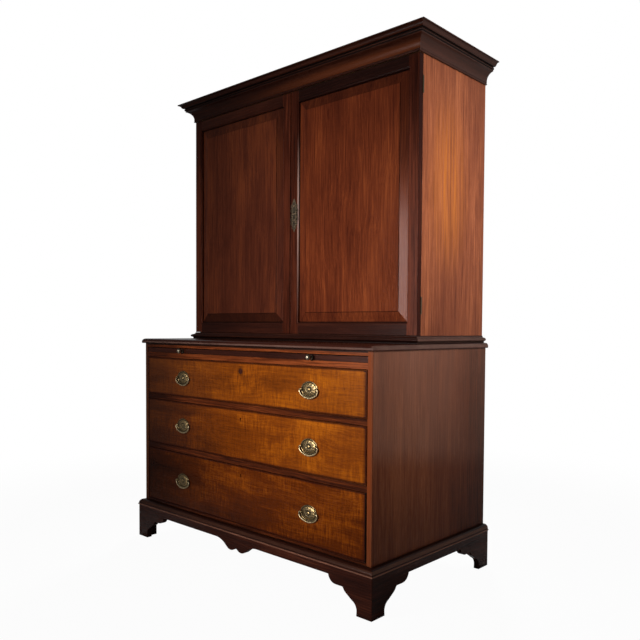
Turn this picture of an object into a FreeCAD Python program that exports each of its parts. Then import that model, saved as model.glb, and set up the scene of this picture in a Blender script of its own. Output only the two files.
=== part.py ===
import FreeCAD, Part
import math
import os

# Linen press: a two-door cupboard standing on a chest of three long drawers with a brushing slide.
# Millimetres. X is to the right seen from the front, the front faces -Y, +Z is up.
# The origin is on the floor, in the middle of the whole press.

V = FreeCAD.Vector
NEAR = 0.001
DIAGONAL = math.sqrt(0.5)

# Chest of drawers
chest_width = 1340.0
chest_depth = 690.0
chest_side = 21.0
back_board = 12.0
back_board_count = 5
plinth_height = 140.0
bottom_rise = 15.0
bottom_thickness = 20.0
bottom_opening = 231.0
middle_opening = 197.0
top_opening = 163.0
divider_height = 21.0
slide_opening = 23.0
top_rail_height = 16.0
rail_depth = 70.0
rail_tenon = 9.0
rail_tenon_shoulder = 4.0
runner_width = 40.0
top_thickness = 20.0
top_overhang = 12.0
top_round = 13.0
top_under_round = 2.5

# Plinth with bracket feet, and the moulding above it
base_projection = 26.0
base_height = 24.0
base_bead = 5.0
base_bead_bulge = 2.5
base_bead_setback = 0.8
base_quirk = 2.0
base_ledge = 7.0
plinth_setback = 4.0
plinth_thickness = 22.0
foot_height = 110.0
foot_block = 32.0
foot_block_lift = 2.0
rear_block_lift = 62.0
rear_bracket = 114.0
rear_bracket_toe = 4.0
rear_bracket_thickness = 20.0
# Inner edge of a bracket foot: distance from the foot's corner, height above the floor
foot_toe = (66.0, 0.0)
foot_ankle = (65.0, 14.0)
foot_cove = ((69.5, 33.0), (86.0, 47.0))
foot_slope = (112.0, 64.0)
foot_knee = ((121.0, 71.5), (126.0, 79.5))
foot_step = ((129.5, 81.8), (136.0, 82.0))
foot_flat = (162.0, 82.0)
foot_lobe = (185.0, 91.5)
foot_length = 195.0
# Middle drop of the front plinth: distance from the middle, drop below the plinth's lower edge
drop_reach = 130.0
drop_shoulder = ((98.0, 3.5), (75.0, 13.0))
drop_slope = (55.0, 27.0)
drop_lobe = ((34.0, 35.0), (11.0, 29.0))
drop_notch = ((6.0, 25.5), (0.0, 24.5))

# Cupboard
cupboard_inset = 17.0
cupboard_depth = 412.0
cupboard_height = 1013.0
cupboard_side = 20.0
cupboard_board = 20.0
waist_height = 28.0
waist_projection = 18.0
waist_under = 6.0
waist_torus = 10.0
waist_bulge = 3.0
waist_fillet = 2.0
shelf_count = 3
shelf_thickness = 18.0
shelf_setback = 22.0
bearer_height = 25.0
bearer_width = 15.0

# Cornice
cornice_height = 79.0
cornice_projection = 60.0
crown_fillet = 4.0
crown_wave = 13.0
crown_wave_run = 19.0
crown_wave_bow = 1.5
crown_lip = 2.0
cornice_quirk = 3.0
cornice_quirk_depth = 3.0
neck_bead = 7.0
neck_fillet = 5.0
cavetto_run = 28.0
cavetto_setout = 1.0
foot_bead = 6.0
foot_bead_projection = 5.0
bead_bulge = 2.0
cornice_frame_board = 20.0
cornice_frame_front = 42.0

# Doors
door_thickness = 22.0
door_gap = 0.5
door_margin = 1.5
meeting_gap = 2.0
frame_width = 46.0
frame_quirk = 1.5
frame_ovolo = 5.0
frame_ledge = 6.0
groove_depth = 8.0
tongue_setback = 9.0
tongue_thickness = 6.0
tongue_play = 1.0
door_tenon_length = 28.0
door_tenon_thickness = 8.0
door_tenon_setback = 7.0
door_tenon_shoulder = 5.0
bevel_width = 40.0
bevel_rise = 6.0
field_step = 1.5
meeting_bead = 6.0
meeting_bead_round = 2.5
meeting_bead_quirk = 1.2

# Butt hinges, with their pins on the outer edge of the joint between door and cupboard
hinge_height = 60.0
hinge_inset = 105.0
leaf_width = 15.0
leaf_thickness = 2.0
knuckle_radius = 3.5
pin_radius = 2.0
pin_clearance = 0.05
knuckle_clearance = 0.4
knuckle_end_gap = 0.3

# Locks, keyholes and bolts
door_lock_width = 34.0
door_lock_height = 64.0
lock_thickness = 11.0
lock_bolt_thickness = 6.0
lock_bolt_width = 18.0
lock_bolt_length = 24.0
lock_bolt_throw = 9.0
bolt_clearance = 0.4
key_height = 494.0
keyhole_radius = 3.2
keyhole_slot = 3.2
keyhole_drop = 11.0
drawer_key_depth = 36.0
drawer_lock_width = 62.0
drawer_lock_height = 46.0
escutcheon_thickness = 1.6
# Right half of the escutcheon, from its tip: middle and end of each arc, about the keyhole
escutcheon_tip = (0.0, 55.0)
escutcheon_edge = [
    ((7.0, 50.0), (7.0, 38.0)),
    ((20.0, 27.0), (15.0, 9.0)),
    ((13.5, 3.0), (15.0, -3.0)),
    ((19.0, -16.0), (8.0, -29.0)),
    ((9.0, -44.0), (0.0, -55.0)),
]
door_bolt_width = 8.0
door_bolt_depth = 6.0
door_bolt_length = 84.0
door_bolt_top_throw = 12.0
door_bolt_bottom_throw = 20.0
bolt_plate_width = 26.0
bolt_plate_height = 70.0
bolt_plate_thickness = 1.5
bolt_keeper_height = 10.0
bolt_keeper_wall = 2.5
bolt_tab_height = 7.0
bolt_tab_reach = 7.0
bolt_socket_spare = 2.0

# Drawers
drawer_gap = 1.5
drawer_lift = 0.3
drawer_front = 22.0
drawer_side = 10.0
drawer_bottom = 7.0
drawer_bottom_rise = 9.0
drawer_bottom_groove = 5.0
drawer_back_drop = 6.0
drawer_side_drop = 5.0
drawer_rear_space = 14.0
cockbead_width = 3.0
cockbead_depth = 7.0
cockbead_proud = 2.0
cockbead_nose = 0.9
tail_cover = 1.0
tail_pitch = 44.0
tail_pin = 9.0
tail_slope = 0.15

# Sides of small turned pieces, bent wire and oval plates
turned_sides = 12
wire_sides = 6
oval_sides = 32

# Brushing slide
slide_thickness = 20.0
slide_lift = 0.3
slide_depth = 560.0
slide_setback = 1.0
slide_clamp = 60.0
slide_knob_inset = 282.0
knob_radius = 11.0
knob_length = 25.0
knob_rose = 7.5
knob_rose_height = 1.5
knob_neck = 4.5
knob_facets = 6
stem_width = 5.0
stem_depth = 12.0
stem_clearance = 0.1

# Oval pulls
pull_inset = 290.0
plate_width = 82.0
plate_height = 57.0
plate_thickness = 2.0
plate_face_share = 0.94
post_spread = 35.0
post_radius = 4.5
post_height = 9.5
post_cap = 1.8
post_collar = 5.0
post_collar_height = 1.2
bail_radius = 2.5
bail_half_width = 45.0
bail_drop = 31.0
bail_bend = 4.0
bail_shoulder = 20.0
bail_standoff = 5.0
bail_pin_reach = 9.0
bail_arc_steps = 3
bail_clearance = 0.3

# Levels and planes that follow from the sizes above
overall_depth = chest_depth + base_projection
rear = overall_depth / 2
chest_front = rear - chest_depth
chest_half = chest_width / 2
inner_half = chest_half - chest_side
bottom_top = plinth_height + bottom_rise + bottom_thickness
lower_divider = bottom_top + bottom_opening
middle_floor = lower_divider + divider_height
upper_divider = middle_floor + middle_opening
top_floor = upper_divider + divider_height
slide_rail = top_floor + top_opening
slide_floor = slide_rail + divider_height
top_rail = slide_floor + slide_opening
chest_top = top_rail + top_rail_height
waist = chest_top + top_thickness
case_half = chest_half - cupboard_inset
case_front = rear - cupboard_depth
case_top = waist + cupboard_height
door_back = case_front - door_gap
door_front = door_back - door_thickness
door_bottom = waist + waist_height + door_margin
door_top = case_top - door_margin
key_level = door_bottom + key_height
pull_spread = chest_half - pull_inset
slide_knob_spread = chest_half - slide_knob_inset
tail_length = drawer_front - cockbead_depth - tail_cover
hinge_levels = (door_bottom + hinge_inset, door_top - hinge_inset)


def block(x0, x1, y0, y1, z0, z1):
    """Board between two corners."""
    return Part.makeBox(x1 - x0, y1 - y0, z1 - z0, V(x0, y0, z0))


def rod(radius, start, along):
    """Round bar from a point along a vector."""
    return Part.makeCylinder(radius, along.Length, start, along)


def outline(start, steps, place):
    """Closed face from straight steps (end,) and arc steps (middle, end), put in space by place."""
    edges = []
    here = start
    for step in steps:
        if len(step) == 1:
            edges.append(Part.makeLine(place(here), place(step[0])))
        else:
            edges.append(Part.Arc(place(here), place(step[0]), place(step[1])).toShape())
        here = step[-1]
    if here != start:
        edges.append(Part.makeLine(place(here), place(start)))
    return Part.Face(Part.Wire(edges))


def turned_back(start, steps):
    """The steps that lead back from the end of a run to its start."""
    ends = [start] + [step[-1] for step in steps]
    return [step[:-1] + (end,) for step, end in zip(reversed(steps), reversed(ends[:-1]))]


def moved(steps, shift):
    """Steps with every point passed through shift."""
    return [tuple(shift(point) for point in step) for step in steps]


def quarter_middle(centre, reach):
    """Middle point of a quarter round about a centre, with its signed reach both ways."""
    return centre[0] + reach[0] * DIAGONAL, centre[1] + reach[1] * DIAGONAL


def flat_face(corners):
    """Flat face with these corners."""
    return Part.Face(Part.makePolygon(corners + corners[:1]))


def ring_solid(rings):
    """Solid with flat sides through rings of corners, closed by the first and the last ring."""
    faces = [flat_face(rings[0]), flat_face(rings[-1])]
    for near, far in zip(rings, rings[1:]):
        for index in range(len(near)):
            faces.append(flat_face([near[index - 1], near[index], far[index], far[index - 1]]))
    solid = Part.Solid(Part.makeShell(faces))
    return solid if solid.Volume > 0 else solid.reversed()


def plan_prism(points, z0, z1):
    """Upright prism over a plan outline."""
    return flat_face([V(x, y, z0) for x, y in points]).extrude(V(0, 0, z1 - z0))


def full_turn(sides):
    """Angles of the corners of a ring with some number of sides."""
    return [2 * math.pi * index / sides for index in range(sides)]


def turned(profile, x, z):
    """Many-sided turned piece about an axis along Y, from radius and depth pairs."""
    turns = full_turn(turned_sides)
    rings = []
    for radius, y in profile:
        rings.append([V(x + radius * math.cos(turn), y, z + radius * math.sin(turn)) for turn in turns])
    return ring_solid(rings)


def square_stem(x, z, y0, y1, clearance):
    """Square stem of a knob or post, or with clearance the hole for it."""
    half = stem_width / 2 + clearance
    return block(x - half, x + half, y0, y1, z - half, z + half)


def mirrored(shape):
    """The same piece on the other side of the press."""
    return shape.mirror(V(0, 0, 0), V(1, 0, 0))


def edges_where(shape, test):
    """Edges whose middle passes a test."""
    return [edge for edge in shape.Edges if test(edge.CenterOfMass)]


def mitred_run(profile, reach, half, front, base, top):
    """Moulding along the front and both sides, in three pieces mitred at the front corners."""
    start, steps = profile
    tip = half + reach
    front_face = outline(start, steps, lambda p: V(-tip, front - p[0], base + p[1]))
    front_plan = [(-half, front), (half, front), (tip, front - reach), (-tip, front - reach)]
    front_piece = front_face.extrude(V(2 * tip, 0, 0)).common(plan_prism(front_plan, base, top))
    side_face = outline(start, steps, lambda p: V(half + p[0], front - reach, base + p[1]))
    side_plan = [(half, front), (tip, front - reach), (tip, rear), (half, rear)]
    side_bar = side_face.extrude(V(0, rear - front + reach, 0))
    side_piece = side_bar.common(plan_prism(side_plan, base, top))
    return [front_piece, mirrored(side_piece), side_piece]


def base_profile():
    """Bead, quirk and ovolo of the moulding above the plinth: projection, height."""
    ledge = base_bead + base_quirk
    nose = base_projection - base_bead_bulge
    inner = nose - base_bead_setback
    ovolo = quarter_middle((base_ledge, ledge), (inner - base_ledge, base_height - ledge))
    steps = [
        ((nose, 0.0),),
        ((base_projection, base_bead / 2), (nose, base_bead)),
        ((inner, base_bead),),
        ((inner, ledge),),
        (ovolo, (base_ledge, base_height)),
        ((0.0, base_height),),
    ]
    return (0.0, 0.0), steps


def waist_profile():
    """Hollow, round and hollow of the moulding at the cupboard's foot: projection, height."""
    lip = waist_projection - waist_bulge
    foot = lip - waist_under
    round_base = waist_fillet + waist_under
    neck = round_base + waist_torus
    under = quarter_middle((lip, waist_fillet), (foot - lip, waist_under))
    step = lip - waist_fillet
    top = waist_height - waist_fillet
    hollow = quarter_middle((step, top), (waist_fillet - step, neck + waist_fillet - top))
    steps = [
        ((foot, 0.0),),
        ((foot, waist_fillet),),
        (under, (lip, round_base)),
        ((waist_projection, round_base + waist_torus / 2), (lip, neck)),
        ((step, neck),),
        ((step, neck + waist_fillet),),
        (hollow, (waist_fillet, top)),
        ((waist_fillet, waist_height),),
        ((0.0, waist_height),),
    ]
    return (0.0, 0.0), steps


def cornice_profile():
    """Bead, cavetto, neck bead, quirk, wave and fillet of the cornice: projection, height."""
    wave_top = cornice_height - crown_fillet
    wave_base = wave_top - crown_wave
    quirk_base = wave_base - cornice_quirk
    bead_base = quirk_base - neck_bead
    cavetto_top = bead_base - neck_fillet
    cavetto_base = foot_bead + crown_lip
    cavetto_foot = foot_bead_projection + cavetto_setout
    cavetto_tip = cavetto_foot + cavetto_run
    cavetto_rise = cavetto_top - cavetto_base
    cavetto_middle = quarter_middle((cavetto_tip, cavetto_base), (-cavetto_run, cavetto_rise))
    wave_tip = cornice_projection - crown_lip
    wave_foot = wave_tip - crown_wave_run
    quirk = wave_foot - cornice_quirk_depth
    wave_half = (wave_foot + crown_wave_run / 2, wave_base + crown_wave / 2)
    bow_run = crown_wave_run / 4 + crown_wave_bow
    bow_rise = crown_wave / 4 - crown_wave_bow
    wave_low = (wave_foot + bow_run, wave_base + bow_rise)
    wave_high = (wave_tip - bow_run, wave_top - bow_rise)
    steps = [
        ((foot_bead_projection, 0.0),),
        ((foot_bead_projection + bead_bulge, foot_bead / 2), (foot_bead_projection, foot_bead)),
        ((foot_bead_projection, cavetto_base),),
        ((cavetto_foot, cavetto_base),),
        (cavetto_middle, (cavetto_tip, cavetto_top)),
        ((cavetto_tip, bead_base),),
        ((quirk, bead_base),),
        ((quirk + bead_bulge, bead_base + neck_bead / 2), (quirk, quirk_base)),
        ((quirk, wave_base),),
        ((wave_foot, wave_base),),
        (wave_low, wave_half),
        (wave_high, (wave_tip, wave_top)),
        ((cornice_projection, wave_top),),
        ((cornice_projection, cornice_height),),
        ((0.0, cornice_height),),
    ]
    return (0.0, 0.0), steps


def foot_steps():
    """Inner edge of a bracket foot, from its toe up to the plinth's lower edge."""
    lobe_end = (foot_length, foot_height)
    return [(foot_ankle,), foot_cove, (foot_slope,), foot_knee, foot_step, (foot_flat,),
            (foot_lobe, lobe_end)]


def drop_steps():
    """Left half of the middle drop, from the plinth's lower edge to the notch in the middle."""
    half = [drop_shoulder, (drop_slope,), drop_lobe, drop_notch]
    return moved(half, lambda p: (-p[0], foot_height - p[1]))


def plinth_boards():
    """Front and side boards of the plinth, cut to feet below and mitred at the front corners."""
    half = chest_half + base_projection - plinth_setback
    front = chest_front - base_projection + plinth_setback
    inner = half - plinth_thickness
    back_of_front = front + plinth_thickness

    left_foot = moved(foot_steps(), lambda p: (p[0] - half, p[1]))
    right_foot = moved(turned_back(foot_toe, foot_steps()), lambda p: (half - p[0], p[1]))
    left_drop = drop_steps()
    right_drop = moved(turned_back((-drop_reach, foot_height), left_drop), lambda p: (-p[0], p[1]))
    steps = [((foot_toe[0] - half, 0.0),)] + left_foot + [((-drop_reach, foot_height),)] + left_drop
    steps += right_drop + [((half - foot_length, foot_height),)] + right_foot
    steps += [((half, 0.0),), ((half, plinth_height),), ((-half, plinth_height),)]
    face = outline((-half, 0.0), steps, lambda p: V(p[0], front, p[1]))
    plan = [(-half, front), (half, front), (inner, back_of_front), (-inner, back_of_front)]
    front_board = face.extrude(V(0, plinth_thickness, 0)).common(plan_prism(plan, 0.0, plinth_height))

    front_foot = moved(foot_steps(), lambda p: (front + p[0], p[1]))
    rear_foot = moved(turned_back(foot_toe, foot_steps()), lambda p: (rear - p[0], p[1]))
    steps = [((front + foot_toe[0], 0.0),)] + front_foot + [((rear - foot_length, foot_height),)]
    steps += rear_foot + [((rear, 0.0),), ((rear, plinth_height),), ((front, plinth_height),)]
    face = outline((front, 0.0), steps, lambda p: V(inner, p[0], p[1]))
    plan = [(half, front), (half, rear), (inner, rear), (inner, back_of_front)]
    side_board = face.extrude(V(plinth_thickness, 0, 0)).common(plan_prism(plan, 0.0, plinth_height))
    return [front_board], [mirrored(side_board), side_board]


def foot_blocks():
    """Corner blocks behind the four feet, and the sloping brackets behind the rear pair."""
    behind = plinth_setback + plinth_thickness
    half = chest_half + base_projection - behind
    front = chest_front - base_projection + behind
    back = rear - rear_bracket_thickness
    inner = half - foot_block
    front_block = block(inner, half, front, front + foot_block, foot_block_lift, plinth_height)
    rear_block = block(inner, half, back - foot_block, back, rear_block_lift, plinth_height)
    steps = [
        ((half, plinth_height),),
        ((half - rear_bracket, plinth_height),),
        ((half - rear_bracket, foot_height),),
        ((half - rear_bracket_toe, foot_block_lift),),
    ]
    bracket_face = outline((half, foot_block_lift), steps, lambda p: V(p[0], back, p[1]))
    bracket = bracket_face.extrude(V(0, rear_bracket_thickness, 0))
    right = [front_block, rear_block, bracket]
    return right + [mirrored(shape) for shape in right]


def back_boards(half, z0, z1):
    """Upright boards that close the back between two sides."""
    width = 2 * half / back_board_count
    boards = []
    for index in range(back_board_count):
        left = -half + index * width
        boards.append(block(left, left + width, rear - back_board, rear, z0, z1))
    return boards


def rail_levels():
    """Lower level and height of each rail across the front of the chest, from the top."""
    return [
        (top_rail, top_rail_height),
        (slide_rail, divider_height),
        (upper_divider, divider_height),
        (lower_divider, divider_height),
    ]


def rail_tenons(level, height):
    """Stub tenons at both ends of a rail."""
    low = level + rail_tenon_shoulder
    high = level + height - rail_tenon_shoulder
    front = chest_front + rail_depth / 4
    back = chest_front + 3 * rail_depth / 4
    right = block(inner_half, inner_half + rail_tenon, front, back, low, high)
    return [mirrored(right), right]


def drawer_bolt_slot(ceiling):
    """Mortise for a drawer's lock bolt in the rail above it."""
    half = lock_bolt_width / 2 + bolt_clearance
    bolt_front = chest_front + drawer_front - lock_thickness + bolt_clearance
    front = bolt_front - bolt_clearance
    back = bolt_front + lock_bolt_thickness + bolt_clearance
    return block(-half, half, front, back, ceiling, ceiling + lock_bolt_throw + bolt_clearance)


def front_rails():
    """Top rail, rail under the slide and the two drawer dividers, tenoned into the sides."""
    rails = []
    for level, height in rail_levels():
        back = chest_front + rail_depth
        rail = block(-inner_half, inner_half, chest_front, back, level, level + height)
        rail = rail.fuse(rail_tenons(level, height)).removeSplitter()
        if level in (upper_divider, lower_divider):
            rail = rail.cut(drawer_bolt_slot(level))
        rails.append(rail)
    return rails


def chest_sides():
    """Left and right side of the chest, mortised for the rails."""
    right = block(inner_half, chest_half, chest_front, rear, plinth_height, chest_top)
    right = right.cut([rail_tenons(level, height)[1] for level, height in rail_levels()])
    return mirrored(right), right


def drawer_runners():
    """Runners and kickers behind each rail, along both sides of the chest."""
    runners = []
    front = chest_front + rail_depth
    back = rear - back_board
    for level, height in rail_levels():
        right = block(inner_half - runner_width, inner_half, front, back, level, level + height)
        runners += [mirrored(right), right]
    return runners


def chest_top_board():
    """Top of the chest, with a thumb-moulded edge at the front and sides."""
    half = chest_half + top_overhang
    front = chest_front - top_overhang
    board = block(-half, half, front, rear, chest_top, waist)

    def along_edge(point, level):
        on_edge = abs(point.y - front) < NEAR or abs(abs(point.x) - half) < NEAR
        return on_edge and abs(point.z - level) < NEAR

    board = board.makeFillet(top_round, edges_where(board, lambda p: along_edge(p, waist)))
    return board.makeFillet(top_under_round, edges_where(board, lambda p: along_edge(p, chest_top)))


def cupboard_sides():
    """Left and right side of the cupboard, let in for the hinges."""
    right = block(case_half - cupboard_side, case_half, case_front, rear, waist, case_top)
    for level in hinge_levels:
        right = right.cut([frame_leaf_plate(level), knuckle_notch(level)])
    return mirrored(right), right


def cupboard_bottom_boards():
    """Bottom of the cupboard, with the rail under the doors in front of it."""
    inner = case_half - cupboard_side
    board = block(-inner, inner, case_front, rear - back_board, waist, waist + cupboard_board)
    socket = door_bolt_socket(waist + cupboard_board - door_bolt_bottom_throw, waist + cupboard_board)
    rail = block(-case_half, case_half, door_front, case_front, waist, waist + waist_height)
    return [board.cut(socket), rail]


def cupboard_top_board():
    """Top of the cupboard, between the sides."""
    inner = case_half - cupboard_side
    under = case_top - cupboard_board
    board = block(-inner, inner, case_front, rear - back_board, under, case_top)
    return board.cut(door_bolt_socket(under, under + door_bolt_top_throw + bolt_socket_spare))


def shelf_levels():
    """Undersides of the shelves, spaced evenly between the bottom and the top."""
    floor = waist + cupboard_board
    room = (case_top - cupboard_board - floor - shelf_count * shelf_thickness) / (shelf_count + 1)
    return [floor + room + index * (room + shelf_thickness) for index in range(shelf_count)]


def shelves_and_bearers():
    """Shelves between the sides, each on a bearer at either end."""
    inner = case_half - cupboard_side
    front = case_front + shelf_setback
    back = rear - back_board
    shelves = []
    bearers = []
    for level in shelf_levels():
        shelves.append(block(-inner, inner, front, back, level, level + shelf_thickness))
        right = block(inner - bearer_width, inner, front, back, level - bearer_height, level)
        bearers += [mirrored(right), right]
    return shelves, bearers


def cornice_frame():
    """Boards that stand on the cupboard and carry the cornice moulding."""
    top = case_top + cornice_height
    inner = case_half - cornice_frame_board
    behind = door_front + cornice_frame_front
    front = block(-case_half, case_half, door_front, behind, case_top, top)
    side = block(inner, case_half, behind, rear, case_top, top)
    back = block(-inner, inner, rear - cornice_frame_board, rear, case_top, top)
    return [front, mirrored(side), side, back]


def hinge_axis(z):
    """Point on the right door's hinge axis at a height."""
    return V(case_half, case_front - door_gap / 2, z)


def knuckle(radius, z0, z1):
    """Many-sided length about the right door's hinge axis."""
    turns = full_turn(turned_sides)
    spokes = [V(radius * math.cos(turn), radius * math.sin(turn), 0) for turn in turns]
    return ring_solid([[hinge_axis(z) + spoke for spoke in spokes] for z in (z0, z1)])


def knuckle_room(z0, z1):
    """Square room round a length of a hinge's knuckles, on both sides of the joint."""
    reach = knuckle_radius + knuckle_clearance
    middle = hinge_axis(0).y
    return block(case_half - reach, case_half + reach, middle - reach, middle + reach, z0, z1)


def knuckle_notch(level):
    """Room for a whole hinge's knuckles in the wood of the cupboard's side and the door's stile."""
    half = hinge_height / 2 + knuckle_end_gap
    return knuckle_room(level - half, level + half)


def frame_leaf_plate(level):
    """Flat leaf let into the cupboard's front edge."""
    half = hinge_height / 2
    return block(case_half - leaf_width, case_half, case_front, case_front + leaf_thickness,
                 level - half, level + half)


def door_leaf_plate(level):
    """Flat leaf let into the door's back."""
    half = hinge_height / 2
    return block(case_half - leaf_width, case_half, door_back - leaf_thickness, door_back,
                 level - half, level + half)


def hinge_leaves(level):
    """Cupboard leaf with two knuckles and the pin, and door leaf with the middle knuckle."""
    half = hinge_height / 2
    third = hinge_height / 6
    gap = knuckle_end_gap / 2
    outer = [(level - half, level - third - gap), (level + third + gap, level + half)]
    middle = (level - third + gap, level + third - gap)

    frame_leaf = frame_leaf_plate(level).cut(knuckle_room(level - third - gap, level + third + gap))
    frame_leaf = frame_leaf.fuse([knuckle(knuckle_radius, *span) for span in outer])
    frame_leaf = frame_leaf.fuse(knuckle(pin_radius, level - half, level + half)).removeSplitter()

    door_leaf = door_leaf_plate(level)
    door_leaf = door_leaf.cut([knuckle_room(level - half, level - third + gap),
                               knuckle_room(level + third - gap, level + half)])
    door_leaf = door_leaf.fuse(knuckle(knuckle_radius, *middle)).removeSplitter()
    bore_radius = (pin_radius + pin_clearance) / math.cos(math.pi / turned_sides)
    door_leaf = door_leaf.cut(knuckle(bore_radius, level - half, level + half))
    return frame_leaf, door_leaf


def door_frame():
    """Stiles and rails of the right door, with a quirked ovolo round the panel."""
    left, right = meeting_gap / 2, case_half
    ox0, ox1 = left + frame_width, right - frame_width
    oz0, oz1 = door_bottom + frame_width, door_top - frame_width
    ledge = door_front + frame_quirk
    frame = block(left, right, door_front, door_back, door_bottom, door_top)
    opening = block(ox0, ox1, door_front, door_back, oz0, oz1)
    quirk = block(ox0 - frame_ledge, ox1 + frame_ledge, door_front, ledge,
                  oz0 - frame_ledge, oz1 + frame_ledge)
    frame = frame.cut([opening, quirk])

    def at_panel(point):
        on_side = min(abs(point.x - ox0), abs(point.x - ox1)) < NEAR
        on_end = min(abs(point.z - oz0), abs(point.z - oz1)) < NEAR
        return abs(point.y - ledge) < NEAR and (on_side or on_end)

    frame = frame.makeFillet(frame_ovolo, edges_where(frame, at_panel))
    groove_front = door_front + tongue_setback
    groove = block(ox0 - groove_depth, ox1 + groove_depth, groove_front, groove_front + tongue_thickness,
                   oz0 - groove_depth, oz1 + groove_depth)
    frame = frame.cut(groove)

    tenon_front = door_front + door_tenon_setback
    tenon_back = tenon_front + door_tenon_thickness
    tenon_height = frame_width - groove_depth - 2 * door_tenon_shoulder
    stile_zones = [block(left, ox0, door_front, door_back, door_bottom, door_top),
                   block(ox1, right, door_front, door_back, door_bottom, door_top)]
    rails = []
    tenons = []
    for low, tenon_low in ((door_bottom, door_bottom + door_tenon_shoulder),
                           (oz1, door_top - door_tenon_shoulder - tenon_height)):
        rail = frame.common(block(ox0, ox1, door_front, door_back, low, low + frame_width))
        tenon_high = tenon_low + tenon_height
        pair = [block(ox0 - door_tenon_length, ox0, tenon_front, tenon_back, tenon_low, tenon_high),
                block(ox1, ox1 + door_tenon_length, tenon_front, tenon_back, tenon_low, tenon_high)]
        rails.append(rail.fuse(pair).removeSplitter())
        tenons += pair
    stiles = [frame.common(zone).cut(tenons) for zone in stile_zones]
    for level in hinge_levels:
        stiles[1] = stiles[1].cut([door_leaf_plate(level), knuckle_notch(level)])
    return stiles, rails


def rectangle(x0, x1, z0, z1, y):
    """Corners of an upright rectangle facing the front."""
    return [V(x0, y, z0), V(x1, y, z0), V(x1, y, z1), V(x0, y, z1)]


def door_panel():
    """Fielded panel of the right door: a tongue in the frame's groove, wide bevels and a raised field."""
    ox0, ox1 = meeting_gap / 2 + frame_width, case_half - frame_width
    oz0, oz1 = door_bottom + frame_width, door_top - frame_width
    reach = groove_depth - tongue_play
    front = door_front + tongue_setback
    field_base = front - bevel_rise
    field = (ox0 + bevel_width, ox1 - bevel_width, oz0 + bevel_width, oz1 - bevel_width)
    tongue = block(ox0 - reach, ox1 + reach, front, front + tongue_thickness, oz0 - reach, oz1 + reach)
    bevels = ring_solid([rectangle(ox0, ox1, oz0, oz1, front), rectangle(*field, field_base)])
    raised = block(field[0], field[1], field_base - field_step, field_base, field[2], field[3])
    return tongue.fuse([bevels, raised]).removeSplitter()


def meeting_bead_cuts(stile):
    """Round and quirk that make a bead along the right door's meeting edge."""
    edge = meeting_gap / 2
    quirk = block(edge + meeting_bead, edge + meeting_bead + meeting_bead_quirk,
                  door_front, door_front + meeting_bead_quirk, door_bottom, door_top)

    def at_edge(point):
        return abs(point.x - edge) < NEAR and abs(point.y - door_front) < NEAR

    return stile.makeFillet(meeting_bead_round, edges_where(stile, at_edge)).cut(quirk)


def keyhole(x, z, y0, y1):
    """Keyhole cutter: a round eye with a slot below it."""
    eye = rod(keyhole_radius, V(x, y0, z), V(0, y1 - y0, 0))
    slot = block(x - keyhole_slot / 2, x + keyhole_slot / 2, y0, y1, z - keyhole_drop, z)
    return eye.fuse(slot)


def door_lock_zone():
    """Box of the lock let into the back of the right door's meeting stile."""
    left = meeting_gap / 2
    return block(left, left + door_lock_width, door_back - lock_thickness, door_back,
                 key_level - door_lock_height / 2, key_level + door_lock_height / 2)


def door_bolt_bar(start, length, clearance):
    """Bar of the door lock's bolt, or the room for it, from a point towards the hinge side."""
    front = door_back - lock_thickness + bolt_clearance
    half = lock_bolt_width / 2 + clearance
    return block(start, start + length, front - clearance, front + lock_bolt_thickness + clearance,
                 key_level - half, key_level + half)


def door_lock_pieces():
    """Lock case with its bolt withdrawn, and the mortise for the bolt in the left door."""
    left = meeting_gap / 2
    bolt = door_bolt_bar(left, lock_bolt_length, 0.0)
    case = door_lock_zone().cut(door_bolt_bar(left, lock_bolt_length + bolt_clearance, bolt_clearance))
    reach = lock_bolt_throw + bolt_clearance
    mortise = door_bolt_bar(-reach, reach, bolt_clearance)
    return case, bolt, mortise


def escutcheon():
    """Scalloped brass plate round the door's keyhole."""
    left_half = moved(turned_back(escutcheon_tip, escutcheon_edge), lambda p: (-p[0], p[1]))
    middle = meeting_gap / 2 + frame_width / 2
    face_y = door_front - escutcheon_thickness
    face = outline(escutcheon_tip, escutcheon_edge + left_half,
                   lambda p: V(middle + p[0], face_y, key_level + p[1]))
    plate = face.extrude(V(0, escutcheon_thickness, 0))
    return plate.cut(keyhole(middle, key_level, face_y, door_front))


def left_bolt_middle():
    """Middle line of the bolts on the back of the left door."""
    return -meeting_gap / 2 - frame_width / 2


def door_bolt_socket(z0, z1):
    """Socket for one of the left door's bolts in the cupboard's bottom or top."""
    middle = left_bolt_middle()
    half = door_bolt_width / 2 + bolt_clearance
    front = door_back + bolt_plate_thickness
    back = front + door_bolt_depth + 2 * bolt_clearance
    return block(middle - half, middle + half, front, back, z0, z1)


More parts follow.
